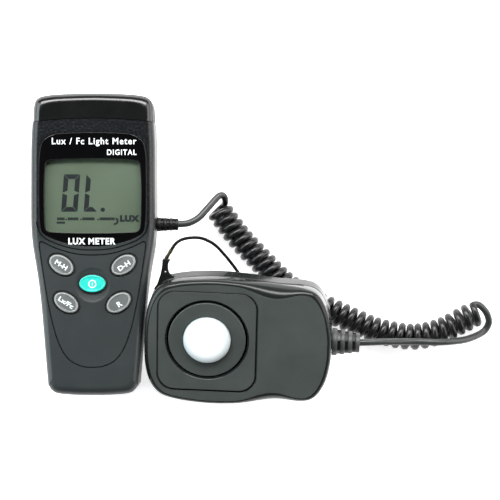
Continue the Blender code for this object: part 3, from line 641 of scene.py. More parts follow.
JACKET = cord_jacket("cord_jacket", shade_the_coil=True)
LEAD_JACKET = cord_jacket("lead_jacket", shade_the_coil=False)
TETHER_BLACK = plastic("tether_black", (0.0015, 0.0015, 0.0015), 0.5, grain=3000.0, specular=0.12)


# ---------------------------------------------------------------- camera and cords

def camera():
    """Straight down over the object, far enough for the long lens of the view."""
    data = bpy.data.cameras.new("view_camera")
    data.sensor_width = 36.0
    data.lens = 145.2
    data.clip_start = 0.05
    view = add_to_scene("view_camera", data)
    view.location = (0.0270, -0.0009, 1.034)
    bpy.context.scene.camera = view


def curly_path():
    """The lead out of the meter and then the helix, as one line; the turns run clockwise down the axis."""
    steps_per_turn = 18
    start_angle = math.radians(-35)
    radius = (COIL_DIAMETER - WIRE_DIAMETER) / 2
    up = Vector((0, 0, 1))
    axis_steps = 4000
    axis = evenly(smooth_through([Vector((x, y, COIL_AXIS_Z)) for x, y in COIL_ROUTE], 24), axis_steps)
    count = int(COIL_TURNS * steps_per_turn)
    helix = []
    for i in range(count + 1):
        share = i / count
        share += COIL_STRETCH * (share ** 2 - share)
        k = min(int(share * axis_steps), axis_steps - 1)
        along = (axis[k + 1] - axis[k]).normalized()
        side = up.cross(along)
        angle = start_angle - 2 * math.pi * i / steps_per_turn
        helix.append(axis[k].lerp(axis[k + 1], share * axis_steps - k)
                     + radius * (side * math.cos(angle) + up * math.sin(angle)))
    inside_sleeve = Vector(METER_LEAD_ROUTE[0]) - INTO_SLEEVE
    lead = smooth_through([inside_sleeve] + list(METER_LEAD_ROUTE) + helix[:2], 4)[:-5]
    return lead + helix


def curly_cord():
    """Lead at the meter and the whole coil in one piece; returns its line."""
    path = curly_path()
    curve = bpy.data.curves.new("curly_cord", "CURVE")
    curve.dimensions = "3D"
    curve.bevel_depth = WIRE_DIAMETER / 2 * MM
    curve.bevel_resolution = 5
    curve.use_fill_caps = True
    spline = curve.splines.new("POLY")
    spline.points.add(len(path) - 1)
    for target, p in zip(spline.points, path):
        target.co = (*(p * MM), 1.0)
    cord = add_to_scene("curly_cord", curve)
    place(cord, WORLD, "meter", JACKET, ("cord_meter_lead", "cord_coil"))
    length_of(path) * MM
    return path


def head_cord(coil_end):
    """Plain lead from the end of the coil round and back into the head's boot."""
    inside_boot = Vector(HEAD_LEAD_ROUTE[-1]) - INTO_SLEEVE
    route = [coil_end] + [Vector(p) for p in HEAD_LEAD_ROUTE] + [inside_boot]
    path = smooth_through(route, 5)
    lead = sweep("head_cord", path, WIRE_DIAMETER / 2, 20)
    lead.data.transform(Matrix.Scale(MM, 4))
    add_materials(lead, LEAD_JACKET)
    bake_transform(lead)
    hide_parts("cord_head_lead")
    length_of(path) * MM


def tether():
    """Thin wire of the lost cap's strap, from the crimp round to its anchor, with the crimp."""
    path = smooth_through(TETHER_ROUTE, 6)
    inside_crimp = Vector(CRIMP_ROUTE[0]).lerp(Vector(CRIMP_ROUTE[1]), 0.6)
    wire = sweep("tether_cord", [inside_crimp] + path, TETHER_DIAMETER / 2, 12)
    place(wire, WORLD, "sensor_head", TETHER_BLACK, ("tether_wire",))
    start, end = (Vector(p) for p in CRIMP_ROUTE)
    crimp_path = evenly([start.lerp(end, -0.25), end], 12)
    shares = [0.78] + [1.0] * 4 + [0.84] * 3 + [1.0] * 4 + [0.78]      # pinched ends and waist
    swell = [CRIMP_DIAMETER / 2 * share for share in shares]
    ferrule = sweep("tether_ferrule", crimp_path, swell, 20)
    place(ferrule, WORLD, "sensor_head", BRASS, ("tether_crimp",))
    length_of(path) * MM


camera()
cord_line = curly_cord()
head_cord(cord_line[-1])
tether()


# ---------------------------------------------------------------- housings

METER_OUTLINE = mirrored(METER_HALF_OUTLINE, 0, 8)
METER_ROUGH_OUTLINE = mirrored(METER_HALF_OUTLINE, 0, 2)
BEZEL_OUTLINE = mirrored(BEZEL_HALF_OUTLINE, 0, 10)
HEAD_OUTLINE = mirrored(HEAD_HALF_OUTLINE, 1, 10)
HEAD_ROUGH_OUTLINE = mirrored(HEAD_HALF_OUTLINE, 1, 2)
EDGE_STEPS = 12
SEAM = 0.35                       # chamfer of the shells where they meet
GROOVE_WIDTH = 0.7
GROOVE_DEPTH = 0.9
SCREW_BOSS = 2.9                  # radii
SCREW_SINK = 2.5


def quarter(steps=EDGE_STEPS):
    """Pairs of inset share and drop share round a quarter of an edge, from the wall to the face."""
    for i in range(steps + 1):
        angle = math.pi / 2 * i / steps
        yield 1 - math.cos(angle), 1 - math.sin(angle)


def shoulder_rings(outline, top, inset, drop):
    return [ring(outline, top - drop * down, inset * inwards) for inwards, down in quarter()]


def foot_rings(outline, inset, drop, extra=0.0):
    rings = [ring(outline, drop * down, extra + inset * inwards) for inwards, down in quarter()]
    return rings[::-1]


def cavity(name, outline, low, high, extra=WALL):
    edge = 3.0
    return loft(name, [ring(outline, low, extra + edge), ring(outline, low + edge, extra),
                       ring(outline, high - edge, extra), ring(outline, high, extra + edge)])


def beyond_seam(name, offset, beyond=True):
    """Everything on one side of the arched seam line of the end cap, moved by the offset along y."""
    reach = 40.0
    far = 90.0
    arch = []
    for i in range(49):
        x = -reach + 2 * reach * i / 48
        arch.append(Vector((x, CAP_SEAM_EDGE + offset + CAP_SEAM_CROWN * (1 - (x / METER_HALF_WIDTH) ** 2))))
    if beyond:
        outline = arch + [Vector((reach, far)), Vector((-reach, far))]
    else:
        outline = [Vector((-reach, -far)), Vector((reach, -far))] + list(reversed(arch))
    return prism(name, outline, -10, 50)


def lipped_cutter(name, outline, floor, top, lip, grow):
    """Cutter for an opening whose upper edge is rounded by the lip."""
    rings = [ring(outline, floor, -grow)]
    for inwards, down in quarter(5):
        rings.append(ring(outline, top - lip * (1 - inwards), -grow - lip * (1 - down)))
    rings.append(ring(outline, top + 4, -grow - lip))
    return loft(name, rings)


def groove(name, points, closed=False):
    """Cutter for a groove in the face of the meter, deeper than it is wide."""
    path = smooth_through([Vector((x, y, METER_DEPTH)) for x, y in points], 6, closed)
    cutter = sweep(name, path, GROOVE_WIDTH / 2, 10, closed)
    squash_to(cutter, METER_DEPTH, 2 * GROOVE_DEPTH / GROOVE_WIDTH)
    return cutter


def squash_to(piece, z, share):
    """Scale a shape along z about a height."""
    piece.data.transform(Matrix.Translation((0, 0, z)) @ Matrix.Diagonal((1, 1, share, 1))
                         @ Matrix.Translation((0, 0, -z)))


def both_sides(half):
    """A line mirrored at x = 0; half runs from the middle out."""
    return [(-x, y) for x, y in reversed(half[1:])] + list(half)


def post(name, x, y, low, high, radius, segments=28):
    return turned(name, [(radius, low), (radius, high)], segments, (x, y))


def cord_hole(at, radius):
    return lay_along_x(post("cord_hole", 0, 0, -8, 8, radius), at)


def screw_bosses(shell, spots, low, high):
    combine(shell, [post("boss", x, y, low, high, SCREW_BOSS, 20) for x, y in spots], "UNION")


def screw_holes(shell, spots, sink_depth):
    """Holes for the case screws, with a bevelled sink for each head in the back."""
    sink = [(SCREW_SINK + 0.25, -1), (SCREW_SINK + 0.25, 0.0), (SCREW_SINK, 0.3), (SCREW_SINK, sink_depth)]
    holes = [post("bore", x, y, -1, 20, 1.7, 20) for x, y in spots]
    holes += [turned("sink", sink, 32, spot) for spot in spots]
    combine(shell, holes)


CUT_FROM = 28                     # cutters of the meter's face begin at this height, inside the hollow
KEYPAD_HALF = (
    (0, -61.3), (5.5, -60.7), (11.2, -57.8), (15.5, -52), (18.7, -43.5), (21.3, -33), (23.6, -20), (25.3, -9),
    (26.3, -1.6), (26.3, 0.3), (25.2, 1.0), (23.4, 0.2), (18, -2.3), (9, -4.9), (0, -5.6))
UNDER_BEZEL_HALF = ((0, -3.1), (6, -2.9), (11.5, -2.0), (18, 0.0), (23, 2.3), (26.2, 5.6), (27.9, 11))


def front_housing():
    seam = METER_SPLIT + GAP / 2
    rings = [ring(METER_OUTLINE, seam, SEAM), ring(METER_OUTLINE, seam + SEAM)]
    rings += shoulder_rings(METER_OUTLINE, METER_DEPTH, *METER_SHOULDER)
    shell = loft("front_housing", rings)
    cutters = [
        cavity("front_hollow", METER_ROUGH_OUTLINE, 6, METER_DEPTH - WALL),
        beyond_seam("front_cap_seam", -GAP / 2),
        lipped_cutter("display_opening", BEZEL_OUTLINE, CUT_FROM, METER_DEPTH, lip=0.15, grow=0.1),
        groove("bezel_groove", both_sides(UNDER_BEZEL_HALF)),
    ]
    keypad = list(KEYPAD_HALF) + [(-x, y) for x, y in reversed(KEYPAD_HALF[1:-1])]
    cutters.append(groove("keypad_groove", keypad, closed=True))
    for name, (x, y, side) in BUTTONS.items():
        radii = BUTTON_RADII + Vector((1, 1)) * BUTTON_CLEARANCE
        hole = ellipse(radii, 64, (x, y), side * BUTTON_TILT)
        cutters.append(lipped_cutter("hole_" + name, hole, CUT_FROM, METER_DEPTH, 0.2, KEY_RING))
    dish = [(radius, METER_DEPTH + rise)
            for radius, rise in ((5.0, -0.6), (7.4, -0.32), (8.2, -0.12), (8.7, 0.0), (8.9, 1.0))]
    power_x, power_y, _ = BUTTONS["power"]
    cutters.append(turned("power_dish", dish, 64, (power_x, power_y - 0.6)))
    cutters.append(cord_hole(METER_CORD_AT, METER_CORD_HOLE))
    combine(shell, cutters)
    screw_bosses(shell, CASE_SCREWS, seam, METER_DEPTH - 3)
    combine(shell, [post("front_bore", x, y, 10, 26, 1.4, 16) for x, y in CASE_SCREWS])
    place(shell, METER, "meter", TEXTURED, ("meter_front_shell",))


def rear_housing():
    seam = METER_SPLIT - GAP / 2
    rings = foot_rings(METER_OUTLINE, *METER_SHOULDER)
    rings += [ring(METER_OUTLINE, seam - SEAM), ring(METER_OUTLINE, seam, SEAM)]
    shell = loft("rear_housing", rings)
    door_way = (2 * (DOOR_HALF_WIDTH + GAP), 100, DOOR_THICKNESS + GAP + 10)
    cutters = [
        cavity("rear_hollow", METER_ROUGH_OUTLINE, WALL, 30),
        beyond_seam("rear_cap_seam", -GAP / 2),
        block("door_way", door_way, (0, DOOR_TOP_Y + GAP - 50), -10),
        cord_hole(METER_CORD_AT, METER_CORD_HOLE),
    ]
    combine(shell, cutters)
    screw_bosses(shell, CASE_SCREWS, 1, seam)
    screw_holes(shell, CASE_SCREWS, 3.2)
    place(shell, METER, "meter", TEXTURED, ("meter_rear_shell",))


# Shares of the cap's shoulder, inwards and down.
CAP_BEVEL = ((0, 1.0), (0.02, 0.82), (0.06, 0.67), (0.13, 0.51), (0.22, 0.37), (0.33, 0.25), (0.45, 0.16),
             (0.58, 0.09), (0.72, 0.04), (0.86, 0.01), (1.0, 0.0))


def cap_housing():
    rings = foot_rings(METER_OUTLINE, *METER_SHOULDER, CAP_STEP)
    for inwards, down in CAP_BEVEL:
        rings.append(ring(METER_OUTLINE, METER_DEPTH - METER_SHOULDER[1] * down,
                          CAP_STEP + METER_SHOULDER[0] * inwards))
    cap = loft("cap_housing", rings)
    combine(cap, [beyond_seam("cap_seam", GAP / 2, beyond=False),
                  cavity("cap_hollow", METER_ROUGH_OUTLINE, WALL, METER_DEPTH - WALL, CAP_STEP + WALL)])
    split_by_slope(cap, CAP_GLOSS, CAP_SIDE, limit=0.42)
    place(cap, METER, "meter", None, ("end_cap",))


def door_cover():
    rings = foot_rings(METER_OUTLINE, *METER_SHOULDER)
    rings += shoulder_rings(METER_OUTLINE, METER_DEPTH, *METER_SHOULDER)
    door = loft("door_cover", rings)
    keep = block("door_keep", (2 * DOOR_HALF_WIDTH, 100, 10 + DOOR_THICKNESS), (0, DOOR_TOP_Y - 50), -10)
    combine(door, [keep], "INTERSECT")
    ridges = []
    for i in range(7):
        y = -14.0 - 1.7 * i
        chevron = [Vector((-8.0, y, -0.1)), Vector((0.0, y - 1.2, -0.1)), Vector((8.0, y, -0.1))]
        ridges.append(sweep("door_grip", smooth_through(chevron, 8), 0.45, 8))
    combine(door, ridges)
    place(door, METER, "battery_door", TEXTURED, ("battery_door",))


front_housing()
rear_housing()
cap_housing()
door_cover()


# ---------------------------------------------------------------- lettering

def fit_text(name, words, low, high, z, thickness, boldness, spacing=1.0):
    """Flat raised lettering stretched into the rectangle from low to high, in mm."""
    curve = bpy.data.curves.new(name, "FONT")
    curve.body = words
    curve.size = 10.0
    curve.offset = boldness
    curve.space_character = spacing
    curve.resolution_u = 6
    curve.extrude = 0.5
    sketch = add_to_scene(name, curve)
    graph = bpy.context.evaluated_depsgraph_get()
    mesh = bpy.data.meshes.new_from_object(sketch.evaluated_get(graph))
    bpy.data.objects.remove(sketch, do_unlink=True)
    xs = [v.co.x for v in mesh.vertices]
    ys = [v.co.y for v in mesh.vertices]
    scale_x = (high[0] - low[0]) / (max(xs) - min(xs))
    scale_y = (high[1] - low[1]) / (max(ys) - min(ys))
    for v in mesh.vertices:
        v.co = Vector((low[0] + (v.co.x - min(xs)) * scale_x, low[1] + (v.co.y - min(ys)) * scale_y,
                       z + v.co.z * thickness))
    return new_piece(name, mesh)


INK = 0.02                        # half the thickness of a display segment


def figure(name, segments, corner, size, z):
    """Seven-segment figure of bars with mitred ends; corner is its lower left, size its width and height."""
    stroke = 2.45
    slant = 0.075
    wide, high = size
    half = high / 2
    mitre = stroke * 0.4
    apart = 0.22
    bars = {
        "a": ((0, high), (stroke, high - stroke), (wide - stroke, high - stroke), (wide, high)),
        "b": ((wide, high), (wide - stroke, high - stroke), (wide - stroke, half + mitre), (wide, half)),
        "c": ((wide, 0), (wide, half), (wide - stroke, half - mitre), (wide - stroke, stroke)),
        "d": ((0, 0), (wide, 0), (wide - stroke, stroke), (stroke, stroke)),
        "e": ((0, 0), (stroke, stroke), (stroke, half - mitre), (0, half)),
        "f": ((0, high), (0, half), (stroke, half + mitre), (stroke, high - stroke)),
    }
    pieces = []
    for segment in segments:
        points = [Vector(p) for p in bars[segment]]
        middle = sum(points, Vector((0, 0))) / 4
        reach = max((p - middle).length for p in points)
        points = [middle + (p - middle) * (1 - apart / reach) for p in points]
        shape = [Vector((corner[0] + p.x + p.y * slant, corner[1] + p.y)) for p in points]
        pieces.append(prism(name, shape, z - INK, z + INK))
    return pieces


def lcd_figures():
    """An over-range reading, a row of scale marks and the unit, as dark segments on the display."""
    z = box_mm("lcd_panel")[1].z + 0.05
    bars = figure("zero", "abcdef", (-15.9, 15.9), (8.2, 18.7), z)
    bars += figure("letter_l", "def", (-4.7, 15.9), (6.8, 18.7), z)
    bars.append(prism("point", ellipse((1.1, 1.05), 20, (4.85, 16.95)), z - INK, z + INK))
    for group, (start, count) in enumerate(((-17.5, 5), (-12.2, 7), (-4.9, 8), (3.6, 10))):
        for i in range(count):
            bars.append(block("mark", (0.66, 1.4, 2 * INK), (start + i * 0.76, 12.4), z - INK))
        if group:
            bars.append(prism("dot", ellipse((0.4, 0.4), 12, (start - 1.1, 12.1)), z - INK, z + INK))
    bars.append(block("bar_line", (4.2, 1.0, 2 * INK), (-16.0, 10.5), z - INK))
    hook = smooth_through([Vector((11.3, 12.7, z)), Vector((12.2, 11.8, z)), Vector((11.9, 10.4, z)),
                           Vector((10.4, 9.6, z))], 6)
    bars.append(sweep("hook", hook, 0.5, 8))
    squash_to(bars[-1], z, 0.06)
    bars.append(fit_text("unit_word", "LUX", (13.4, 10.9), (23.2, 14.2), z, thickness=0.04, boldness=0.75,
                         spacing=1.12))
    ink = join("lcd_figures", bars)
    place(ink, METER, "meter", LCD_INK)


# Words, lower left and upper right corner, boldness and letter spacing.
FRAME_WORDS = (
    ("Lux / Fc Light Meter", (-20.2, 48.3), (21.8, 52.6), 0.2, 1.18),
    ("DIGITAL", (7.2, 44.0), (21.8, 46.8), 0.25, 1.2),
    ("LUX METER", (-12.0, -0.4), (11.4, 2.9), 0.4, 1.15))


def window_frame():
    low, high = box_mm("display_bezel")
    top = high.z
    edge = 0.2
    rings = [ring(BEZEL_OUTLINE, low.z)]
    rings += [ring(BEZEL_OUTLINE, top - edge * down, edge * inwards) for inwards, down in quarter(4)]
    bezel = loft("window_frame", rings)
    opening = mirrored(LENS_HALF_OUTLINE, 0, 8)
    combine(bezel, [lipped_cutter("lens_opening", opening, 25, top, lip=edge, grow=0.0)])
    split_by_slope(bezel, BEZEL_GLOSS, BLACK_AND_PAINTED_SHADE)
    place(bezel, METER, "meter", None, ("display_bezel",))
    words = [fit_text("frame_word", word, corner, far_corner, top + 0.02, 0.05, boldness, spacing)
             for word, corner, far_corner, boldness, spacing in FRAME_WORDS]
    place(join("window_print", words), METER, "meter", PRINT_WHITE)


LEGEND_DROP = {"data_hold": 0.5, "range": 0.8}
KEY_WORDS = {"max_hold": ("M-H", 6.6, 2.4), "data_hold": ("D-H", 6.6, 2.4), "unit": ("Lx/Fc", 8.4, 2.4),
             "range": ("R", 2.3, 2.7)}


def key(name, x, y, side):
    """Oval push button with a paler raised rim and a printed legend."""
    crown = METER_DEPTH + BUTTON_PROUD
    under_face = METER_DEPTH - WALL
    rounding = 0.6
    rim_width = 0.75
    dip = 0.14                        # of the top inside the rim

    def widened(by):
        return BUTTON_RADII + Vector((by, by))

    flange = widened(BUTTON_CLEARANCE + 0.5)
    skirt = widened(BUTTON_CLEARANCE + KEY_RING - 0.1)
    levels = [(flange, under_face - 1.6), (flange, under_face - 0.4), (skirt, under_face - 0.35),
              (skirt, METER_DEPTH - 0.75), (BUTTON_RADII, METER_DEPTH - 0.7),
              (BUTTON_RADII, crown - rounding)]
    levels += [(widened(-0.5 * inwards), crown - rounding * down) for inwards, down in list(quarter(6))[1:]]
    levels += [(widened(-rim_width - 0.25 * share), crown - dip * share) for share in (0.0, 0.5, 1.0)]
    levels.append((BUTTON_RADII * 0.5, crown - 0.10))
    rings = [[Vector((p.x, p.y, z)) for p in ellipse(radii, 72)] for radii, z in levels]
    cap = loft("key_" + name, rings)
    main, rim = (KEY_TEAL, KEY_TEAL) if name == "power" else (KEY_GREY, KEY_RIM)
    add_materials(cap, main, rim, BLACK_AND_PAINTED_SHADE)
    for face in cap.data.polygons:
        corners = [cap.data.vertices[v].co for v in face.vertices]
        height = max(p.z for p in corners)
        distance = max((p.x / BUTTON_RADII.x) ** 2 + (p.y / BUTTON_RADII.y) ** 2 for p in corners)
        # Faces under the face of the housing, the skirt and flange, are painted black: painted shade in the
        # gap round the key.
        if height < METER_DEPTH - 0.65:
            face.material_index = 2
        elif height > crown - 0.55 and distance > 0.72:
            face.material_index = 1
    if name == "power":
        circle = [Vector((p.x, p.y, crown - 0.08)) for p in ellipse((1.75, 1.75), 40, (0, -0.15))]
        legend = [sweep("power_ring", circle, 0.28, 8, closed=True),
                  block("power_bar", (0.45, 1.4, 0.1), (0, -0.15), crown - 0.12)]
        squash_to(legend[0], crown - 0.06, 0.25)
    else:
        words, width, height = KEY_WORDS[name]
        legend = [fit_text("legend", words, (-width / 2, -height / 2), (width / 2, height / 2),
                           crown - 0.10, thickness=0.08, boldness=0.35)]
    legend = join("legend_" + name, legend)
    legend.data.transform(Matrix.Translation((0, -LEGEND_DROP.get(name, 0.0), 0)))
    spot = METER @ Matrix.Translation((x, y, 0)) @ Matrix.Rotation(side * BUTTON_TILT, 4, "Z")
    body = "button_" + name
    place(cap, spot, body, None, (body,))
    place(legend, spot, body, PRINT_WHITE)


lcd_figures()
window_frame()
for key_name, spot_and_side in BUTTONS.items():
    key(key_name, *spot_and_side)


# ---------------------------------------------------------------- sensor head

def scoop_share(x):
    distance = abs(x - SCOOP_X) / SCOOP_HALF_LENGTH
    return 0.5 + 0.5 * math.cos(math.pi * distance) if distance < 1 else 0.0


def head_shoulder_rings():
    reach_x = max(p.x for p in HEAD_OUTLINE)
    reach_y = max(p.y for p in HEAD_OUTLINE)
    rings = []
    for inwards, down in quarter():
        points = []
        for p in HEAD_OUTLINE:
            share = scoop_share(p.x)
            x = p.x * (1 - HEAD_SHOULDER[0] * inwards / reach_x)
            y = p.y * (1 - (HEAD_SHOULDER[0] + SCOOP[0] * share) * inwards / reach_y)
            y += HEAD_LEAN * max(p.y, 0.0) / reach_y
            points.append(Vector((x, y, HEAD_DEPTH - (HEAD_SHOULDER[1] + SCOOP[1] * share) * down)))
        rings.append(points)
    return rings


def head_front_housing():
    seam = HEAD_SPLIT + GAP / 2
    rings = [ring(HEAD_OUTLINE, seam, SEAM), ring(HEAD_OUTLINE, seam + SEAM)] + head_shoulder_rings()
    shell = loft("head_front_housing", rings)
    pocket_size = Vector(PANEL_SIZE) + Vector((2, 2)) * GAP
    pocket = rounded_rectangle(pocket_size, PANEL_CORNER + GAP, PANEL_CENTRE)
    face_low = HEAD_DEPTH - FACE_WALL
    combine(shell, [
        cavity("head_front_hollow", HEAD_ROUGH_OUTLINE, 4, face_low, HEAD_WALL),
        lipped_cutter("panel_pocket", pocket, HEAD_DEPTH - PANEL_THICKNESS - GAP, HEAD_DEPTH, lip=0.3,
                      grow=0.0),
        post("sensor_hole", *SENSOR_CENTRE, 15, 40, 20.4, 80),
        cord_hole(HEAD_CORD_AT, HEAD_CORD_HOLE)])
    # Faces that lean over get the darker satin grey: painted shade on the shoulder and walls of a shell of
    # one grey plastic.
    split_by_slope(shell, HEAD_MATT, HEAD_SLOPE_SHADE)
    place(shell, HEAD, "sensor_head", None, ("head_front_shell",))


def head_rear_housing():
    seam = HEAD_SPLIT - GAP / 2
    rings = foot_rings(HEAD_OUTLINE, *HEAD_FOOT)
    rings += [ring(HEAD_OUTLINE, seam - SEAM), ring(HEAD_OUTLINE, seam, SEAM)]
    shell = loft("head_rear_housing", rings)
    combine(shell, [cavity("head_rear_hollow", HEAD_ROUGH_OUTLINE, WALL, 30, HEAD_WALL),
                    cord_hole(HEAD_CORD_AT, HEAD_CORD_HOLE)])
    screw_bosses(shell, HEAD_SCREWS, 1, seam)
    screw_holes(shell, HEAD_SCREWS, 2.6)
    # The whole rear shell is in the darker satin grey: painted shade on its walls.
    place(shell, HEAD, "sensor_head", HEAD_SLOPE_SHADE, ("head_rear_shell",))


def sensor_face():
    """Rounded square panel with the conical well round the sensor ring."""
    top = HEAD_DEPTH
    size = Vector(PANEL_SIZE) - Vector((0.3, 0.3))
    edge = 0.35
    centre = Vector(PANEL_CENTRE) + Vector(PANEL_SHIFT)
    outline = rounded_rectangle(size, PANEL_CORNER - 0.1, centre)
    rings = [ring(outline, top - PANEL_THICKNESS)]
    rings += [ring(outline, top - edge * down, edge * inwards) for inwards, down in quarter(5)]
    panel = loft("sensor_face", rings)
    well = turned("well", [(GROOVE_RADIUS - 0.8, top - 1.3), (GROOVE_RADIUS - 0.35, top - 0.2),
                           (GROOVE_RADIUS - 0.1, top), (GROOVE_RADIUS - 0.05, top + 5)], 96, SENSOR_CENTRE)
    combine(panel, [post("panel_hole", *SENSOR_CENTRE, 20, 40, 20.2, 96), well])
    # The panel's rounded edge gets the darker satin grey: painted shade.
    split_by_slope(panel, HEAD_MATT, HEAD_SLOPE_SHADE)
    place(panel, HEAD, "sensor_head", None, ("sensor_panel",))


def sensor_rim():
    """Flat ring round the dome, a little under the face of the panel."""
    top = HEAD_DEPTH - 0.1
    edge = 0.35
    profile = [(RING_RADIUS, top - 3.9), (RING_RADIUS, top - edge)]
    profile += [(RING_RADIUS - edge * inwards, top - edge * down) for inwards, down in quarter(5)]
    rim = turned("sensor_rim", profile, 96, SENSOR_CENTRE)
    dome_hole = ellipse((DOME_RADIUS + GAP,) * 2, 80, SENSOR_CENTRE)
    combine(rim, [lipped_cutter("dome_hole", dome_hole, 20, top, lip=0.25, grow=0.0)])
    place(rim, HEAD, "sensor_head", HEAD_MATT, ("sensor_ring",))


def diffuser():
    """Opal dome with a flat crown and a rounded shoulder."""
    top = HEAD_DEPTH
    base = top - 4.0
    crown = [(radius, top + rise) for radius, rise in (
        (DOME_RADIUS, 0.3), (11.65, 1.1), (11.1, 2.0), (10.1, 2.8), (8.4, 3.5), (6.0, 3.95), (3.0, 4.16),
        (0.4, 4.2))]
    outer = [(DOME_RADIUS, base)] + [tuple(p) for p in smooth_through(crown, 3)]
    dome = turned("diffuser", outer, 96, SENSOR_CENTRE)
    inner = [(10.4, base - 1), (10.4, top + 0.4), (8.6, top + 1.7), (3.0, top + 2.8)]
    combine(dome, [turned("dome_hollow", inner, 48, SENSOR_CENTRE)])
    place(dome, HEAD, "sensor_head", OPAL, ("diffuser_dome",))


def ribbed_sleeve(name, at, neck, bore, flange, length, root_radius, tip_radius, waist, windows, matrix, body,
                  material, replaced):
    """Strain relief along +x: a tapered sleeve with four rounded ribs and blind windows between them.

    The waist is a share of the radius of the rib before it; the windows are counted round the sleeve.
    """
    ribs = 4
    first = 0.7                       # the first pitch begins here
    rib_share = 0.55                  # of a pitch; the rest is waist
    profile = [(flange, -4.2), (flange, -3.0), (neck, -2.9), (neck, 0.05)]
    pitch = length / ribs
    soft = 0.12 * pitch
    radii = [root_radius + (tip_radius - root_radius) * i / (ribs - 1) for i in range(ribs)]
    for i, radius in enumerate(radii):
        start = first + i * pitch if i else 0.1
        end = first + (i + rib_share) * pitch
        profile += [(radius - soft, start), (radius - 0.3 * soft, start + 0.3 * soft), (radius, start + soft),
                    (radius, end - soft), (radius - 0.3 * soft, end - 0.3 * soft), (radius - soft, end)]
        if i < ribs - 1:
            profile += [(waist * radius, end + 0.03 * pitch), (waist * radius, end + 0.42 * pitch)]
    sleeve = lay_along_x(turned(name, profile, 64), at)
    tools = [lay_along_x(post("bore", 0, 0, -8, length + 3, bore, 32), at)]
    for i, radius in enumerate(radii[:-1]):
        middle = at + Vector((first + (i + (1 + rib_share) / 2) * pitch, 0, 0))
        for k in range(windows):
            pocket = block("pocket", (0.36 * pitch, 2.9 * radius / windows, radius), (0, 0), 0.7 * radius)
            turn = Matrix.Rotation(2 * math.pi * k / windows, 4, "X")
            pocket.data.transform(Matrix.Translation(middle) @ turn)
            tools.append(pocket)
    combine(sleeve, tools)
    add_materials(sleeve, material, BLACK_AND_PAINTED_SHADE)
    # Faces sunk under the ribs, the blind windows and the deeper waists, are painted black: painted shade in
    # the recesses.
    for face in sleeve.data.polygons:
        along = (face.center - at).x
        from_axis = (face.center - at).yz.length
        crest = root_radius + (tip_radius - root_radius) * along / (0.85 * length)
        face.material_index = 1 if first < along < length and from_axis < 0.94 * crest else 0
    place(sleeve, matrix, body, None, (replaced,))


LUG_SKETCH = (
    (-5.3, -7.0), (4.9, -2.8), (4.6, -0.2), (2.7, 0.8), (1.5, 2.1), (1.05, 3.7), (1.0, 6.0), (1.3, 7.6),
    (2.0, 8.7), (1.4, 9.0), (-1.5, 9.0), (-1.9, 7.0), (-2.1, 5.1), (-2.4, 3.0), (-3.0, 0.3), (-3.8, -2.4),
    (-4.6, -4.8))


def tether_strap():
    """Moulded lug at the head's corner: a flat tapering tongue with a flared foot, a hole and a barb."""
    root = LUG_ROOT.xy
    outline = [root + Vector(p) for p in evenly(smooth_through(LUG_SKETCH, 3, closed=True), 60)]
    low = LUG_ROOT.z
    rings = [ring(outline, low, 0.25), ring(outline, low + 0.25), ring(outline, low + 1.55),
             ring(outline, low + 1.8, 0.25)]
    lug = loft("tether_strap", rings)
    hole = ellipse((0.5, 0.5), 24, root + Vector((-0.3, 2.4)))
    combine(lug, [prism("lug_hole", hole, 0, 20)])
    place(lug, HEAD, "sensor_head", RUBBER, ("tether_lug",))


head_front_housing()
head_rear_housing()
sensor_face()
sensor_rim()
diffuser()
ribbed_sleeve("cord_sleeve", METER_CORD_AT, neck=2.6, bore=1.7, flange=3.8, length=11.6, root_radius=3.5,
              tip_radius=3.0, waist=0.96, windows=8, matrix=METER, body="meter", material=RUBBER,
              replaced="meter_strain_relief")
ribbed_sleeve("cord_boot", HEAD_CORD_AT, neck=3.9, bore=1.7, flange=5.6, length=15.0, root_radius=6.9,
              tip_radius=5.0, waist=0.87, windows=4, matrix=HEAD, body="sensor_head", material=BOOT_GREY,
              replaced="head_boot")
tether_strap()


# ---------------------------------------------------------------- nodes that keep their CAD shape

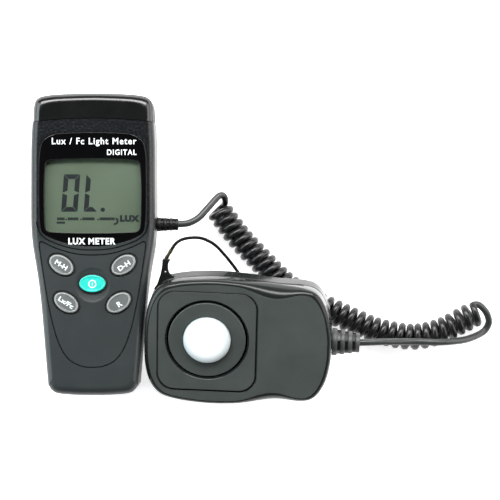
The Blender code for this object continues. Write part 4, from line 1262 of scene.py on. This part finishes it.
KEPT = {
    WINDOW: ("display_lens",),
    LCD: ("lcd_panel",),
    WHITE_PLASTIC: ("lcd_holder",),
    PINK_STRIP: ("lcd_connector_strip",),
    KEY_RUBBER: ("key_mat", "battery_foam"),
    BOARD: ("main_board", "sensor_board"),
    BLACK_AND_PAINTED_SHADE: ("measuring_chip", "battery_snap", "retaining_ring", "tether_anchor"),
    BLUE_PLASTIC: ("trimmer",),
    BATTERY_WRAP: ("battery",),
    FILTER_GREEN: ("filter_disc",),
    GOLD: ("photodiode",),
    STEEL: ("board_screw_1", "board_screw_2", "case_screw_1", "case_screw_2", "case_screw_3", "case_screw_4",
            "head_screw_1", "head_screw_2", "head_screw_3", "head_screw_4"),
}
for kept_material, node_names in KEPT.items():
    for node_name in node_names:
        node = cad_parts[node_name]
        node.data.materials.clear()
        node.data.materials.append(kept_material)


# ---------------------------------------------------------------- floor and light

def floor():
    """Seamless white table, far larger than the object."""
    half = 1.5
    mesh = bpy.data.meshes.new("studio_floor")
    mesh.from_pydata([(-half, -half, 0), (half, -half, 0), (half, half, 0), (-half, half, 0)], [],
                     [(0, 1, 2, 3)])
    table = add_to_scene("studio_floor", mesh)
    table.location.z = -0.0003
    material, tree, shader = shader_of("studio_paper")
    feed(tree, shader, {
        "Base Color": ramp(tree, noise(tree, 8.0), (0.90,) * 3, (0.92,) * 3), "Roughness": 0.9,
        "Emission Color": (1.0, 1.0, 1.0, 1.0), "Emission Strength": 0.74})
    add_materials(table, material)


def area_light(name, at, size, power, colour):
    data = bpy.data.lights.new(name, "AREA")
    data.shape = "RECTANGLE"
    data.size = size[0]
    data.size_y = size[1]
    data.energy = power
    data.color = colour
    light = add_to_scene(name, data)
    light.location = at
    aim = Vector((0.03, 0.0, 0.0)) - Vector(at)
    light.rotation_euler = aim.to_track_quat("-Z", "Y").to_euler()


def studio():
    world = bpy.data.worlds.new("studio_world")
    world.use_nodes = True
    tree = world.node_tree
    direction = add_node(tree, "TexCoord", {}).outputs["Generated"]
    height = add_node(tree, "SeparateXYZ", {"Vector": direction}).outputs["Z"]
    sky = ramp(tree, height, (1.0,) * 3, (0.03,) * 3, 0.05, 0.35)
    feed(tree, tree.nodes["Background"], {"Color": sky, "Strength": 0.7})
    bpy.context.scene.world = world
    area_light("north_softbox", (0.03, 0.53, 0.63), (1.1, 0.28), 16.5, (1.0, 1.0, 0.98))
    area_light("west_softbox", (-0.75, 0.1, 0.42), (0.9, 0.6), 10.0, (0.86, 0.97, 1.0))
    area_light("east_softbox", (0.85, 0.1, 0.42), (0.9, 0.6), 7.0, (1.0, 0.97, 0.96))
    bpy.context.scene.view_settings.view_transform = "Standard"


floor()
studio()
